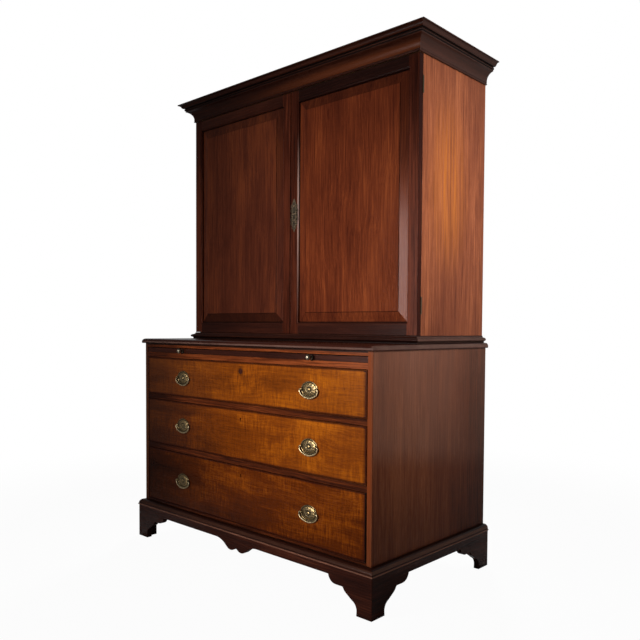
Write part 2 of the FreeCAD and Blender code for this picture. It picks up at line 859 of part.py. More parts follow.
def door_bolt(tip, inward):
    """Plate with two keepers and a sliding bolt, for the top (inward -1) or bottom (inward +1)."""
    middle = left_bolt_middle()
    seat = door_back + bolt_plate_thickness
    bar_front = seat + bolt_clearance
    bar_back = bar_front + door_bolt_depth
    half = door_bolt_width / 2

    def span(near, far):
        return sorted((tip + inward * near, tip + inward * far))

    margin = (door_bolt_length - bolt_plate_height) / 2
    plate = block(middle - bolt_plate_width / 2, middle + bolt_plate_width / 2, door_back, seat,
                  *span(margin, margin + bolt_plate_height))
    outer = half + bolt_clearance + bolt_keeper_wall
    keeper_back = bar_back + bolt_clearance + bolt_keeper_wall
    keepers = []
    for near in (margin, margin + bolt_plate_height - bolt_keeper_height):
        keepers.append(block(middle - outer, middle + outer, seat, keeper_back,
                             *span(near, near + bolt_keeper_height)))
    channel = block(middle - half - bolt_clearance, middle + half + bolt_clearance, seat,
                    bar_back + bolt_clearance, *span(0.0, door_bolt_length))
    plate = plate.fuse([keeper.cut(channel) for keeper in keepers]).removeSplitter()
    bar = block(middle - half, middle + half, bar_front, bar_back, *span(0.0, door_bolt_length))
    tab_span = span((door_bolt_length - bolt_tab_height) / 2, (door_bolt_length + bolt_tab_height) / 2)
    tab = block(middle - half, middle + half, bar_back, bar_back + bolt_tab_reach, *tab_span)
    return plate, bar.fuse(tab).removeSplitter()


def cockbead(half, z0, z1):
    """Four mitred beads let in round the edge of a drawer front."""
    front = chest_front - cockbead_proud
    back = chest_front + cockbead_depth
    shoulder = front + cockbead_nose
    steps = [
        ((cockbead_nose, front),),
        ((cockbead_width - cockbead_nose, front),),
        ((cockbead_width, shoulder),),
        ((cockbead_width, back),),
        ((0.0, back),),
    ]
    inner = half - cockbead_width

    def upright_prism(points):
        return flat_face([V(x, front, z) for x, z in points]).extrude(V(0, back - front, 0))

    low_face = outline((0.0, shoulder), steps, lambda p: V(-half, p[1], z0 + p[0]))
    low = low_face.extrude(V(2 * half, 0, 0))
    low = low.common(upright_prism([(-half, z0), (half, z0), (inner, z0 + cockbead_width),
                                    (-inner, z0 + cockbead_width)]))
    side_face = outline((0.0, shoulder), steps, lambda p: V(half - p[0], p[1], z0))
    side = side_face.extrude(V(0, 0, z1 - z0))
    side = side.common(upright_prism([(half, z0), (half, z1), (inner, z1 - cockbead_width),
                                      (inner, z0 + cockbead_width)]))
    high = low.mirror(V(0, 0, (z0 + z1) / 2), V(0, 0, 1))
    return [low, high, mirrored(side), side]


def dovetails(x0, x1, joint, z0, z1):
    """Tails on the end of a drawer side, spaced over its height."""
    count = max(2, round((z1 - z0) / tail_pitch))
    pitch = (z1 - z0) / count
    tails = []
    for index in range(count):
        middle = z0 + (index + 0.5) * pitch
        root = (pitch - tail_pin) / 2 - tail_length * tail_slope
        tip = root + tail_length * tail_slope
        corners = [(joint, middle - root), (joint, middle + root),
                   (joint - tail_length, middle + tip), (joint - tail_length, middle - tip)]
        tails.append(flat_face([V(x0, y, z) for y, z in corners]).extrude(V(x1 - x0, 0, 0)))
    return tails


def drawer_lock(ceiling):
    """Lock case behind a drawer front with its bolt withdrawn, and the slot the bolt rises through."""
    top = ceiling - drawer_gap - cockbead_width
    back = chest_front + drawer_front
    front = back - lock_thickness
    half = lock_bolt_width / 2
    bolt_front = front + bolt_clearance
    bolt_back = bolt_front + lock_bolt_thickness
    foot = top - lock_bolt_length
    bolt = block(-half, half, bolt_front, bolt_back, foot, top)
    slot = block(-half - bolt_clearance, half + bolt_clearance, front, bolt_back + bolt_clearance,
                 foot - bolt_clearance, ceiling)
    case_side = drawer_lock_width / 2
    case = block(-case_side, case_side, front, back, top - drawer_lock_height, top)
    return case, bolt, slot


def drawer(floor, opening, locked):
    """Front, box and bottom of a drawer that fills an opening, with its lock where it has one."""
    half = inner_half - drawer_gap
    z0 = floor + drawer_gap
    z1 = floor + opening - drawer_gap
    back = chest_front + drawer_front
    rear_end = rear - back_board - drawer_rear_space
    side_low = floor + drawer_lift
    side_high = z1 - cockbead_width - drawer_side_drop
    inner = half - drawer_side
    panel_low = side_low + drawer_bottom_rise
    panel_high = panel_low + drawer_bottom
    groove_half = inner + drawer_bottom_groove
    groove = block(-groove_half, groove_half, back - drawer_bottom_groove, rear_end, panel_low, panel_high)

    side = block(inner, half, back, rear_end, side_low, side_high)
    tails = dovetails(inner, half, back, z0 + cockbead_width, side_high)
    right_side = side.fuse(tails).removeSplitter().cut(groove)
    sides = [mirrored(right_side), right_side]
    back_wall = block(-inner, inner, rear_end - drawer_side, rear_end,
                      panel_high, side_high - drawer_back_drop)

    beads = cockbead(half, z0, z1)
    bed = block(-half, half, chest_front, chest_front + cockbead_depth, z0, z1)
    core = block(-half + cockbead_width, half - cockbead_width, chest_front, chest_front + cockbead_depth,
                 z0 + cockbead_width, z1 - cockbead_width)
    front = block(-half, half, chest_front, back, z0, z1).cut(bed).fuse(core).removeSplitter()
    front = front.cut(sides + [groove] + pull_holes(floor, opening))
    lock = None
    bolt = None
    if locked:
        lock, bolt, slot = drawer_lock(floor + opening)
        hole = keyhole(0.0, floor + opening - drawer_key_depth, chest_front, back)
        front = front.cut([lock, slot, hole])
        lock = lock.cut(slot)
    return [front] + beads, sides + [back_wall], [groove], lock, bolt


def pull_level(floor, opening):
    """Height of a drawer's pulls."""
    return floor + opening / 2


def pull_holes(floor, opening):
    """Holes through a drawer front for the stems of its pulls."""
    level = pull_level(floor, opening)
    holes = []
    for middle in (-pull_spread, pull_spread):
        for x in (middle - post_spread, middle + post_spread):
            holes.append(square_stem(x, level, chest_front, chest_front + drawer_front, stem_clearance))
    return holes


def oval(x, y, z, share):
    """Corners of an oval facing the front, some share of a pull's outline."""
    across = plate_width / 2 * share
    up = plate_height / 2 * share
    return [V(x + across * math.cos(turn), y, z + up * math.sin(turn)) for turn in full_turn(oval_sides)]


def pull_plate(x, z):
    """Oval plate with a bevelled edge and square holes for its posts."""
    face_y = chest_front - plate_thickness
    plate = ring_solid([oval(x, chest_front, z, 1.0), oval(x, face_y, z, plate_face_share)])
    ends = (x - post_spread, x + post_spread)
    return plate.cut([square_stem(end, z, face_y, chest_front, stem_clearance) for end in ends])


def wire_ring(centre, along, radius):
    """Corners round a point of a wire that runs in an upright plane facing the front."""
    side = V(along.z, 0, -along.x)
    corners = []
    for turn in full_turn(wire_sides):
        corners.append(centre + side * (radius * math.cos(turn)) + V(0, radius * math.sin(turn), 0))
    return corners


def pull_post(x, z):
    """Turned post with an eye for the bail and a square stem through the plate and drawer front."""
    seat = chest_front - plate_thickness
    tip = chest_front - post_height
    profile = [
        (post_collar, seat),
        (post_radius, seat - post_collar_height),
        (post_radius, tip + post_cap),
        (post_radius - post_cap, tip),
    ]
    stem = square_stem(x, z, seat, chest_front + drawer_front, 0.0)
    post = turned(profile, x, z).fuse(stem).removeSplitter()
    eye_radius = (bail_radius + bail_clearance) / math.cos(math.pi / wire_sides)
    rings = []
    for reach in (-post_collar, post_collar):
        rings.append(wire_ring(V(x + reach, chest_front - bail_standoff, z), V(1, 0, 0), eye_radius))
    return post.cut(ring_solid(rings))


def bail_path():
    """Points and directions from a bail's right pin down to the middle of its loop, about its axis."""
    run = bail_half_width - bail_shoulder
    deep = bail_drop - bail_bend
    base_radius = (run ** 2 + deep ** 2 - bail_shoulder ** 2) / (2 * (deep - bail_shoulder))
    base_centre = base_radius - bail_drop
    shoulder_end = math.atan2(-bail_bend - base_centre, run)
    bend_end = bail_half_width - bail_bend
    path = [((bend_end - bail_pin_reach, 0.0), (1.0, 0.0))]
    arcs = [
        ((bend_end, -bail_bend), bail_bend, math.pi / 2, 0.0),
        ((run, -bail_bend), bail_shoulder, 0.0, shoulder_end),
        ((0.0, base_centre), base_radius, shoulder_end, -math.pi / 2),
    ]
    for (cx, cz), radius, first, last in arcs:
        for index in range(bail_arc_steps):
            turn = first + index * (last - first) / bail_arc_steps
            ahead = (math.sin(turn), -math.cos(turn))
            path.append(((cx + radius * math.cos(turn), cz + radius * math.sin(turn)), ahead))
    return path


def bail(x, z):
    """Wire handle: two pins in the posts, bent down into an oval loop of tangent arcs."""
    right = bail_path()
    left = [((-px, pz), (dx, -dz)) for (px, pz), (dx, dz) in reversed(right)]
    rings = []
    for (px, pz), (dx, dz) in right + [((0.0, -bail_drop), (-1.0, 0.0))] + left:
        rings.append(wire_ring(V(x + px, chest_front - bail_standoff, z + pz), V(dx, 0, dz), bail_radius))
    return ring_solid(rings)


def slide_knob(x):
    """Turned brass ball on a rose, with a square stem in the slide's front edge."""
    level = slide_floor + slide_lift + slide_thickness / 2
    face_y = chest_front + slide_setback
    ball_middle = face_y - knob_length + knob_radius
    neck_turn = math.asin(knob_neck / knob_radius)
    profile = [(knob_rose, face_y), (knob_rose - knob_rose_height, face_y - knob_rose_height)]
    for index in range(knob_facets + 1):
        turn = neck_turn + index * (math.pi - 2 * neck_turn) / knob_facets
        profile.append((knob_radius * math.sin(turn), ball_middle + knob_radius * math.cos(turn)))
    stem = square_stem(x, level, face_y, face_y + stem_depth, 0.0)
    return turned(profile, x, level).fuse(stem).removeSplitter()


def brushing_slide():
    """Pull-out board with a cross-grained clamp at each end, bored for its knobs."""
    half = inner_half - drawer_gap
    z0 = slide_floor + slide_lift
    front = chest_front + slide_setback
    back = front + slide_depth
    panel = block(-half + slide_clamp, half - slide_clamp, front, back, z0, z0 + slide_thickness)
    clamp = block(half - slide_clamp, half, front, back, z0, z0 + slide_thickness)
    for x in (-slide_knob_spread, slide_knob_spread):
        end = front + stem_depth + stem_clearance
        panel = panel.cut(square_stem(x, z0 + slide_thickness / 2, front, end, stem_clearance))
    return [panel, mirrored(clamp), clamp]


def chest_pieces():
    """Every fixed piece of the chest."""
    left_side, right_side = chest_sides()
    plinth_front, plinth_sides = plinth_boards()
    bottom = block(-inner_half, inner_half, chest_front, rear - back_board,
                   bottom_top - bottom_thickness, bottom_top)
    return {
        "chest_left_side": [left_side],
        "chest_right_side": [right_side],
        "chest_top": [chest_top_board()],
        "chest_bottom": [bottom],
        "chest_back": back_boards(inner_half, plinth_height, chest_top),
        "front_rails": front_rails(),
        "drawer_runners": drawer_runners(),
        "base_moulding": mitred_run(base_profile(), base_projection, chest_half, chest_front,
                                    plinth_height, plinth_height + base_height),
        "plinth_front": plinth_front,
        "plinth_sides": plinth_sides,
        "foot_blocks": foot_blocks(),
    }


def cupboard_pieces():
    """Every fixed piece of the cupboard, with the mouldings round its foot and head."""
    left_side, right_side = cupboard_sides()
    shelves, bearers = shelves_and_bearers()
    frame_leaves = [hinge_leaves(level)[0] for level in hinge_levels]
    return {
        "waist_moulding": mitred_run(waist_profile(), waist_projection, case_half, door_front,
                                     waist, waist + waist_height),
        "cupboard_left_side": [left_side],
        "cupboard_right_side": [right_side],
        "cupboard_bottom": cupboard_bottom_boards(),
        "cupboard_top": [cupboard_top_board()],
        "cupboard_back": back_boards(case_half - cupboard_side, waist, case_top),
        "shelves": shelves,
        "shelf_bearers": bearers,
        "cornice_frame": cornice_frame(),
        "cornice_moulding": mitred_run(cornice_profile(), cornice_projection, case_half, door_front,
                                       case_top, case_top + cornice_height),
        "hinge_frame_leaves": frame_leaves + [mirrored(leaf) for leaf in frame_leaves],
    }


def door_pieces():
    """Both doors with their hinge leaves, the right one's lock and the left one's bolts."""
    stiles, rails = door_frame()
    panel = door_panel()
    leaves = [hinge_leaves(level)[1] for level in hinge_levels]
    lock, lock_bolt, mortise = door_lock_pieces()
    key = keyhole(meeting_gap / 2 + frame_width / 2, key_level, door_front, door_back)
    meeting_stile = meeting_bead_cuts(stiles[0]).cut([door_lock_zone(), key])
    left_stiles = [mirrored(stile) for stile in stiles]
    left_stiles[0] = left_stiles[0].cut(mortise)
    top_tip = case_top - cupboard_board - bolt_socket_spare
    top_plate, top_bolt = door_bolt(top_tip, -1)
    bottom_plate, bottom_bolt = door_bolt(door_bottom, 1)
    return {
        "left_door_stiles": left_stiles,
        "left_door_rails": [mirrored(rail) for rail in rails],
        "left_door_panel": [mirrored(panel)],
        "left_door_hinge_leaves": [mirrored(leaf) for leaf in leaves],
        "left_door_bolt_plates": [top_plate, bottom_plate],
        "left_door_top_bolt": [top_bolt],
        "left_door_bottom_bolt": [bottom_bolt],
        "right_door_stiles": [meeting_stile, stiles[1]],
        "right_door_rails": rails,
        "right_door_panel": [panel],
        "right_door_hinge_leaves": leaves,
        "door_lock": [lock],
        "door_lock_bolt": [lock_bolt],
        "door_escutcheon": [escutcheon()],
    }


def drawer_pieces():
    """The three drawers with their pulls, and the lower two with locks."""
    pieces = {}
    for name, floor, opening, locked in (("top_drawer", top_floor, top_opening, False),
                                         ("middle_drawer", middle_floor, middle_opening, True),
                                         ("bottom_drawer", bottom_top, bottom_opening, True)):
        front, box, bottom, lock, bolt = drawer(floor, opening, locked)
        level = pull_level(floor, opening)
        pieces[name + "_front"] = front
        pieces[name + "_box"] = box
        pieces[name + "_bottom"] = bottom
        pulls = []
        for side, x in (("left", -pull_spread), ("right", pull_spread)):
            posts = [pull_post(end, level) for end in (x - post_spread, x + post_spread)]
            pulls += [pull_plate(x, level)] + posts
            pieces[name + "_" + side + "_bail"] = [bail(x, level)]
        pieces[name + "_pulls"] = pulls
        if locked:
            pieces[name + "_lock"] = [lock]
            pieces[name + "_lock_bolt"] = [bolt]
    return pieces


def slide_pieces():
    """The brushing slide and its two knobs."""
    return {
        "brushing_slide": brushing_slide(),
        "slide_knobs": [slide_knob(-slide_knob_spread), slide_knob(slide_knob_spread)],
    }


os.makedirs("parts", exist_ok=True)
nodes = {**chest_pieces(), **cupboard_pieces(), **door_pieces(), **drawer_pieces(), **slide_pieces()}
for node, solids in nodes.items():
    pieces = [piece for solid in solids for piece in solid.Solids]
    Part.makeCompound(pieces).exportStep("parts/" + node + ".step")
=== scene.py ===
"""Linen press: a chest of three long drawers and a brushing slide, under a cupboard with two doors."""

import math

import bmesh
import bpy
from mathutils import Color, Matrix, Vector


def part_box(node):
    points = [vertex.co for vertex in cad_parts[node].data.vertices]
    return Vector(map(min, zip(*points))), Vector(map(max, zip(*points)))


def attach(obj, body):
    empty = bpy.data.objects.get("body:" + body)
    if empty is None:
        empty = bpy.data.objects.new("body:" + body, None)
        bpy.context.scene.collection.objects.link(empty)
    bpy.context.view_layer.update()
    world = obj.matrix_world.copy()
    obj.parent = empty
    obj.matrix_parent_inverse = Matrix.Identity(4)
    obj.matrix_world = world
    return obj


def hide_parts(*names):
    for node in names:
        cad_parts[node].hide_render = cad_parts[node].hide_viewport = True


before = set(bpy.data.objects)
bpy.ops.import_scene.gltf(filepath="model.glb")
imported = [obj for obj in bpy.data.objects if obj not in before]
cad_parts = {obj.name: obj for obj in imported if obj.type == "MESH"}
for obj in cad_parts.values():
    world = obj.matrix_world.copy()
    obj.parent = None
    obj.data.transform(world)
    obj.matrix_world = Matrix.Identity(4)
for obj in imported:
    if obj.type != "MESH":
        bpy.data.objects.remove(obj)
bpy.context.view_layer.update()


def tint(red, green, blue):
    """Colour as it looks on a screen, from 0 to 255, turned into light."""
    light = Color((red / 255, green / 255, blue / 255)).from_srgb_to_scene_linear()
    return (*light, 1.0)


# Camera, in metres and degrees
camera_place = Vector((2.0851, -1.9943, 0.9403))
camera_yaw = math.radians(40.661)
camera_pitch = math.radians(-2.013)
camera_roll = math.radians(0.476)
camera_lens = 38.30
camera_shift = (-0.078125, 0.0509)

# Lamps: place, aim, width, height, spread in degrees and power in watts
lamps = {
    "front_light": ((-0.55, -2.95, 1.25), (0.45, -0.2, 1.0), 0.7, 1.3, 55, 9.5),
    "side_light": ((2.9, 0.35, 1.5), (0.66, 0.12, 1.48), 0.8, 0.8, 55, 8.0),
    "rear_light": ((-2.0, 3.0, 3.6), (-0.2, 0.3, 0.8), 1.0, 1.0, 36, 9.0),
}
white = (1, 1, 1, 1)
sky_light = 0.12
# Share of sky and floor that gloss shows, and where behind the object it begins and is full
mirrored = 0.4
sky_behind = (-0.15, 0.6)
floor_behind = (0.2, 1.6)
# Floor: its size and shade, how white it looks near the object and where it fades into the background
floor_size = 40
floor_shade = (0.86, 0.86, 0.86, 1)
floor_white = 0.965
floor_fade = (1.4, 3.0)

# Oval pulls: outline from the frame, then a stamped profile as shares of it and heights above the drawer
chest_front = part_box("chest_left_side")[0].y
chest_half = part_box("chest_right_side")[1].x
pulls_low, pulls_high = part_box("top_drawer_pulls")
bail_low, bail_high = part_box("top_drawer_right_bail")
plate_width = 2 * pulls_high.x - bail_low.x - bail_high.x
plate_height = pulls_high.z - pulls_low.z
plate_sides = 80
plate_profile = [
    (1.000, 0.0000), (1.000, 0.0010), (0.988, 0.0019), (0.962, 0.0023), (0.932, 0.0021), (0.908, 0.0014),
    (0.892, 0.0006), (0.850, 0.0004), (0.826, 0.0005), (0.806, 0.0012), (0.765, 0.0017), (0.700, 0.0021),
    (0.600, 0.0032), (0.500, 0.0042), (0.400, 0.0048), (0.320, 0.0047), (0.284, 0.0038), (0.256, 0.0038),
    (0.230, 0.0048), (0.185, 0.0060), (0.115, 0.0067), (0.045, 0.0069),
]
flute_count = 12
flute_band = (0.33, 0.75)
flute_cut = 0.3
flute_rise = 0.0007
bead_count = 56
bead_share = 0.858
bead_radius = 0.0006
bead_height = 0.0008
bead_sides = 8
bead_rings = 6

# Posts of the pulls: radius and height above the drawer front, from the nut inside to the round tip
post_spread = 0.035
post_sides = 24
post_profile = [
    (0.0044, -0.0262), (0.0050, -0.0258), (0.0050, -0.0223), (0.0024, -0.0223), (0.0024, 0.0005),
    (0.0049, 0.0005), (0.0050, 0.0016), (0.0047, 0.0022), (0.0041, 0.0025), (0.0043, 0.0034),
    (0.0047, 0.0046), (0.0047, 0.0060), (0.0043, 0.0074), (0.0034, 0.0086), (0.0020, 0.0093),
    (0.0006, 0.0095),
]
eye_radius = 0.0028
eye_bore = 0.02
bore_sides = 24

# Bails: a bent wire that hangs close in front of the plate and swells in two steps to its middle
bail_radius = 0.0025
bail_swell = 0.0004
bail_swell_reach = (0.030, 0.018)
bail_sides = 14
bail_axis = chest_front - 0.005
bail_half_width = 0.045
bail_drop = 0.031
bail_bend = 0.004
bail_shoulder = 0.020
bail_pin = 0.009
bend_steps = 6
shoulder_steps = 8
loop_steps = 12

# Slide knobs: radius and height above the slide's front edge
knob_sides = 32
knob_profile = [
    (0.0022, -0.0100), (0.0022, 0.0000), (0.0075, 0.0000), (0.0076, 0.0010), (0.0068, 0.0018),
    (0.0048, 0.0023), (0.0040, 0.0036), (0.0041, 0.0056), (0.0052, 0.0076), (0.0076, 0.0090),
    (0.0096, 0.0112), (0.0107, 0.0138), (0.0109, 0.0162), (0.0104, 0.0188), (0.0090, 0.0213),
    (0.0066, 0.0233), (0.0036, 0.0245), (0.0010, 0.0249),
]

# Filled keyhole of the top drawer
plug_place = Vector((0.0, chest_front, 0.772))
plug_sides = 40
plug_profile = [(0.0108, -0.0006), (0.0108, 0.00010), (0.0104, 0.00018), (0.0040, 0.00022)]

# Door escutcheon: profile of a leaf as shares of its size and heights above the stile
escutcheon_low, escutcheon_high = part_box("door_escutcheon")
escutcheon_sides = 32
leaf_profile = [
    (1.00, -0.0002), (1.00, 0.0009), (0.94, 0.0014), (0.86, 0.0015), (0.78, 0.0011), (0.30, 0.0010),
]
# Leaves on its middle line by height above the keyhole and half sizes, and those of its right half
middle_leaves = [
    (0.010, 0.012, 0.020), (-0.018, 0.012, 0.018), (-0.044, 0.011, 0.016), (-0.064, 0.007, 0.010),
    (-0.0735, 0.0035, 0.005), (0.035, 0.010, 0.013), (0.0475, 0.0055, 0.007),
]
side_leaves = [
    (0.0125, 0.026, 0.0065, 0.007), (0.0145, 0.008, 0.0065, 0.0075), (0.0125, -0.010, 0.007, 0.007),
    (0.014, -0.028, 0.007, 0.0075), (0.012, -0.045, 0.0065, 0.007), (0.0075, -0.060, 0.0055, 0.006),
]
# Holes pierced through the leaves: places and radii
middle_holes = [
    (0.024, 0.0024), (-0.021, 0.0032), (-0.033, 0.0030), (-0.044, 0.0032), (-0.055, 0.0026),
    (-0.064, 0.0026),
]
side_holes = [
    (0.0115, 0.026, 0.0028), (0.013, 0.0085, 0.0032), (0.0115, -0.0105, 0.0030), (0.013, -0.028, 0.0034),
    (0.011, -0.045, 0.0032), (0.007, -0.060, 0.0024),
]
keyhole_radius = 0.0032
keyhole_slot = (0.0032, 0.011)
plate_bore = 0.01
# Old polish round it, with painted shade where the wood shows through its piercings: reach across and up,
# soft edge, and how far its middle is below the keyhole
plate_dark_reach = (0.021, 0.064)
plate_dark_edge = (0.75, 1.1)
plate_dark_drop = 0.012

# Tones of the woods, from the dark of the grain to its glow, and where each is full from 0 to 1
drawer_tones = {
    "top_drawer": (tint(66, 26, 6), tint(137, 67, 10), tint(186, 100, 10)),
    "middle_drawer": (tint(64, 25, 6), tint(130, 61, 8), tint(184, 98, 13)),
    "bottom_drawer": (tint(42, 13, 2), tint(97, 40, 4), tint(158, 78, 9)),
}
left_door_tones = (tint(46, 18, 12), tint(88, 41, 26), tint(128, 63, 34))
right_door_tones = (tint(58, 21, 13), tint(108, 48, 25), tint(156, 78, 38))
frame_tones = (tint(30, 11, 7), tint(56, 24, 15), tint(86, 41, 25))
rail_tones = (tint(44, 15, 6), tint(92, 40, 15), tint(150, 74, 34))
stile_tones = (tint(36, 12, 7), tint(68, 28, 16), tint(110, 52, 32))
cupboard_side_tones = (tint(82, 38, 25), tint(130, 70, 44), tint(168, 98, 62))
chest_side_tones = (tint(46, 18, 9), tint(104, 51, 28), tint(150, 86, 52))
moulding_tones = (tint(26, 10, 7), tint(50, 22, 14), tint(86, 43, 27))
plinth_tones = (tint(30, 10, 6), tint(57, 24, 15), tint(96, 47, 29))
wood_stops = (0.12, 0.52, 0.92)
lining_tones = (tint(96, 66, 38), tint(140, 102, 64), tint(170, 132, 88))
lining_stops = (0.15, 0.55, 0.9)
lining_pores = tint(70, 46, 26)
# Dark of dirt and painted shade in the lining's corners
lining_dirt_and_shade = tint(40, 26, 16)

# Tones of wear, of painted light and shade, and of stains on the woods, and of dirt and painted shade with
# its usual share
# Painted light on the right front edge of the chest
chest_edge_light = tint(132, 62, 26)
# Painted grey sheen on the chest sides
chest_sheen = tint(170, 132, 114)
# Painted highlight on a door panel's right bevel
bevel_highlight = tint(138, 64, 32)
# Painted warm light in the cornice's hollow
cove_glow = tint(116, 56, 24)
# Painted highlights on the base moulding's nose and its upper round
nose_highlight = tint(158, 106, 84)
round_highlight = tint(140, 94, 72)
# Painted grey highlight on moulding returns and the chest top's edges
grey_highlight = tint(128, 98, 86)
# Painted highlight on the right meeting stile's inner edge
arris_light = tint(206, 168, 154)
# Painted golden pool of light on the cupboard sides
painted_light_gold = tint(186, 106, 38)
# Dark of the beads' stain and of painted shade at the drawer gaps
bead_stain_and_shade = tint(54, 16, 7)
# Painted shade with a grey sheen at each drawer's left end
shaded_left_tones = {
    "top_drawer": tint(66, 36, 25),
    "middle_drawer": tint(64, 35, 24),
    "bottom_drawer": tint(34, 12, 4),
}
# Dark of dirt and of painted shade in corners, joints, gaps and quirks, and its usual share
grime_and_shade = tint(12, 5, 3)
grime_and_shade_share = 0.85

# Tones of the brass, from its shade to where it is rubbed
plate_tones = (tint(124, 98, 58), tint(180, 154, 110), tint(228, 206, 168))
bail_tones = (tint(176, 152, 108), tint(222, 204, 166), tint(244, 230, 202))
knob_tones = (tint(112, 100, 84), tint(168, 156, 136), tint(210, 200, 184))
escutcheon_tones = (tint(136, 110, 84), tint(188, 160, 128), tint(230, 208, 180))
patina_tone = tint(42, 35, 20)
# Heights of the rise and fall of a plate's dome, of its groove's end and of a leaf's rim
dome_rise = (0.0026, 0.0034)
dome_fall = (0.0058, 0.0064)
groove_top = (0.0008, 0.0015)
leaf_rim = (0.0012, 0.0014)

# Doors: distances from a door's edge to its panel and to the raised field, and the painted shade lines
# along both
panel_inset = 0.046
field_inset = 0.086
panel_line = 0.0050
field_line = 0.0028
# Painted shade on the upper and lower bevels, how much painted highlight the right one has and where that
# turns to painted shade
bevel_light_and_shade = {"left_door": (0.35, 0.7, 0.0), "right_door": (0.5, 0.2, 0.5)}
bevel_turn = (1.30, 1.65)
# Hinge stiles: where and how far they are paler, and where and how far painted shade darkens them upwards
hinge_stile = (0.40, 0.62)
hinge_lift = 0.22
hinge_top = (1.45, 1.85)
hinge_top_shade = 0.3
# Outer edge of the right door: how far in its dark begins and is full, and how dark it is
edge_start = 0.0008
edge_full = 0.0004
edge_drop = 0.5
# Worn meeting stile of the left door: where it begins along X, heights of its rise and fall, paleness
meeting_stile = (-0.20, -0.10)
meeting_rise = (0.85, 1.2)
meeting_fall = (1.45, 1.75)
meeting_lift = 0.2
# Painted highlight on the edge of the right meeting stile: width, rise above the door's foot, fall below
# the panel's top, share
arris_width = 0.007
arris_rise = (0.05, 0.55)
arris_fall = (0.4, 0.1)
arris_share = 0.85
# Upper door rails: where they begin, the left one's painted light, where and how far painted shade darkens
# the right one
upper_rails = (1.7, 1.8)
upper_rail_light = 0.1
shaded_rail = (-0.2, 0.1)
shaded_rail_drop = 0.46

# Drawers: how far the bead stands proud, the dark border inside it, the painted shade at the right end and
# in the bottom drawer's right gap
bead_proud = 0.0006
border_start = 0.004
border_width = 0.009
shaded_right_end = 0.022
bottom_gap_shadow = 0.008
# Painted shade at a drawer's left end and painted light at its right, along X, and how far they shift the
# tone
shaded_left_end = (-0.62, 0.02)
left_shade_drop = 0.2
lit_right_end = (0.05, 0.55)
right_light_lift = 0.10
# Smudge round the filled keyhole, and old holes by their places along X and Z
plug_smudge = 0.019
old_holes = {"top_drawer": (0.545, 0.738), "middle_drawer": (0.286, 0.560)}
hole_radius = 0.0022

# Rails of the chest: the warm ones by the slide, the rest, the painted shade at the left ends and the
# painted shadow under the top
slide_rails = (0.7, 0.8)
slide_rail_lift = 0.3
rail_drop = 0.1
rail_left = (-0.62, -0.3)
rail_left_shade = 0.4
rail_shadow_start = 0.007
rail_shadow_full = 0.005

# Chest sides: where and how far painted shade darkens them towards the back, the top and the foot
chest_side_gain = 0.12
rear_part = (0.0, 0.34)
rear_shade = 0.26
top_part = (0.6, 0.87)
top_shade = 0.08
foot_part = (0.18, 0.45)
foot_shade = 0.05
# Their painted grey sheen: heights where it begins, how these fall to the back, and its loss there
sheen_rise = (0.42, 0.53)
sheen_slope = 0.15
sheen_rear = (-0.1, 0.25)
sheen_loss = 0.4
# Their front edges: depth, painted light on the right one and its loss at its corner and foot, painted
# shade on the left one
front_edge = (0.001, 0.004)
corner_start = 0.010
corner_full = 0.002
corner_loss = 0.6
lit_edge_rise = (0.2, 0.5)
lit_edge_foot = 0.35
left_edge_shade = 0.5

# Cupboard sides: middle of the painted pool of light and how far it fades out, along Y and Z
light_patch_middle = (0.11, 1.47)
light_patch_reach = (0.17, 0.40)

# Painted highlights on mouldings: bands from one height above the foot to another, and how soft their edges
# are
nose_band = (0.001, 0.0045)
round_band = (0.010, 0.019)
waist_band = (0.003, 0.024)
top_side_band = (0.004, 0.017)
top_front_band = (0.004, 0.009)
band_edge = 0.001
# Edge of the chest's top: depth of its right and front, and the painted shadow at its foot
top_edge = 0.004
top_shadow = (0.002, 0.004)
# Cornice: rise and fall of its hollow, where painted light falls on it along X, its quirks and the painted
# shade in them
cove_rise = (0.006, 0.012)
cove_fall = (0.026, 0.045)
cove_lit = (-0.5, 0.4)
cornice_quirks = (0.0605, 0.0525)
quirk_line = 0.0026

# Outer corner of each mitred moulding: half its width and its front
mitres = {}
for moulding in ("cornice_moulding", "waist_moulding", "base_moulding"):
    mitres[moulding] = (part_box(moulding)[1].x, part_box(moulding)[0].y)


def operator(operation, swapped=False):
    """Method that makes a maths node of a wire and another wire or value."""

    def method(self, other=0.0):
        first, second = (other, self) if swapped else (self, other)
        return self.maths(operation, first, second)

    return method


class Wire:
    """A shader socket that takes part in expressions on plain values."""

    def __init__(self, nodes, socket):
        self.nodes = nodes
        self.socket = socket

    def other(self, output):
        """Another output of the same node."""
        return Wire(self.nodes, self.socket.node.outputs[output])

    def maths(self, operation, first, second):
        return self.nodes.add("ShaderNodeMath", {"operation": operation}, {0: first, 1: second})

    __add__ = __radd__ = operator("ADD")
    __sub__ = operator("SUBTRACT")
    __rsub__ = operator("SUBTRACT", swapped=True)
    __mul__ = __rmul__ = operator("MULTIPLY")
    __truediv__ = operator("DIVIDE")
    __pow__ = operator("POWER")
    __gt__ = operator("GREATER_THAN")
    __lt__ = operator("LESS_THAN")
    __abs__ = operator("ABSOLUTE")


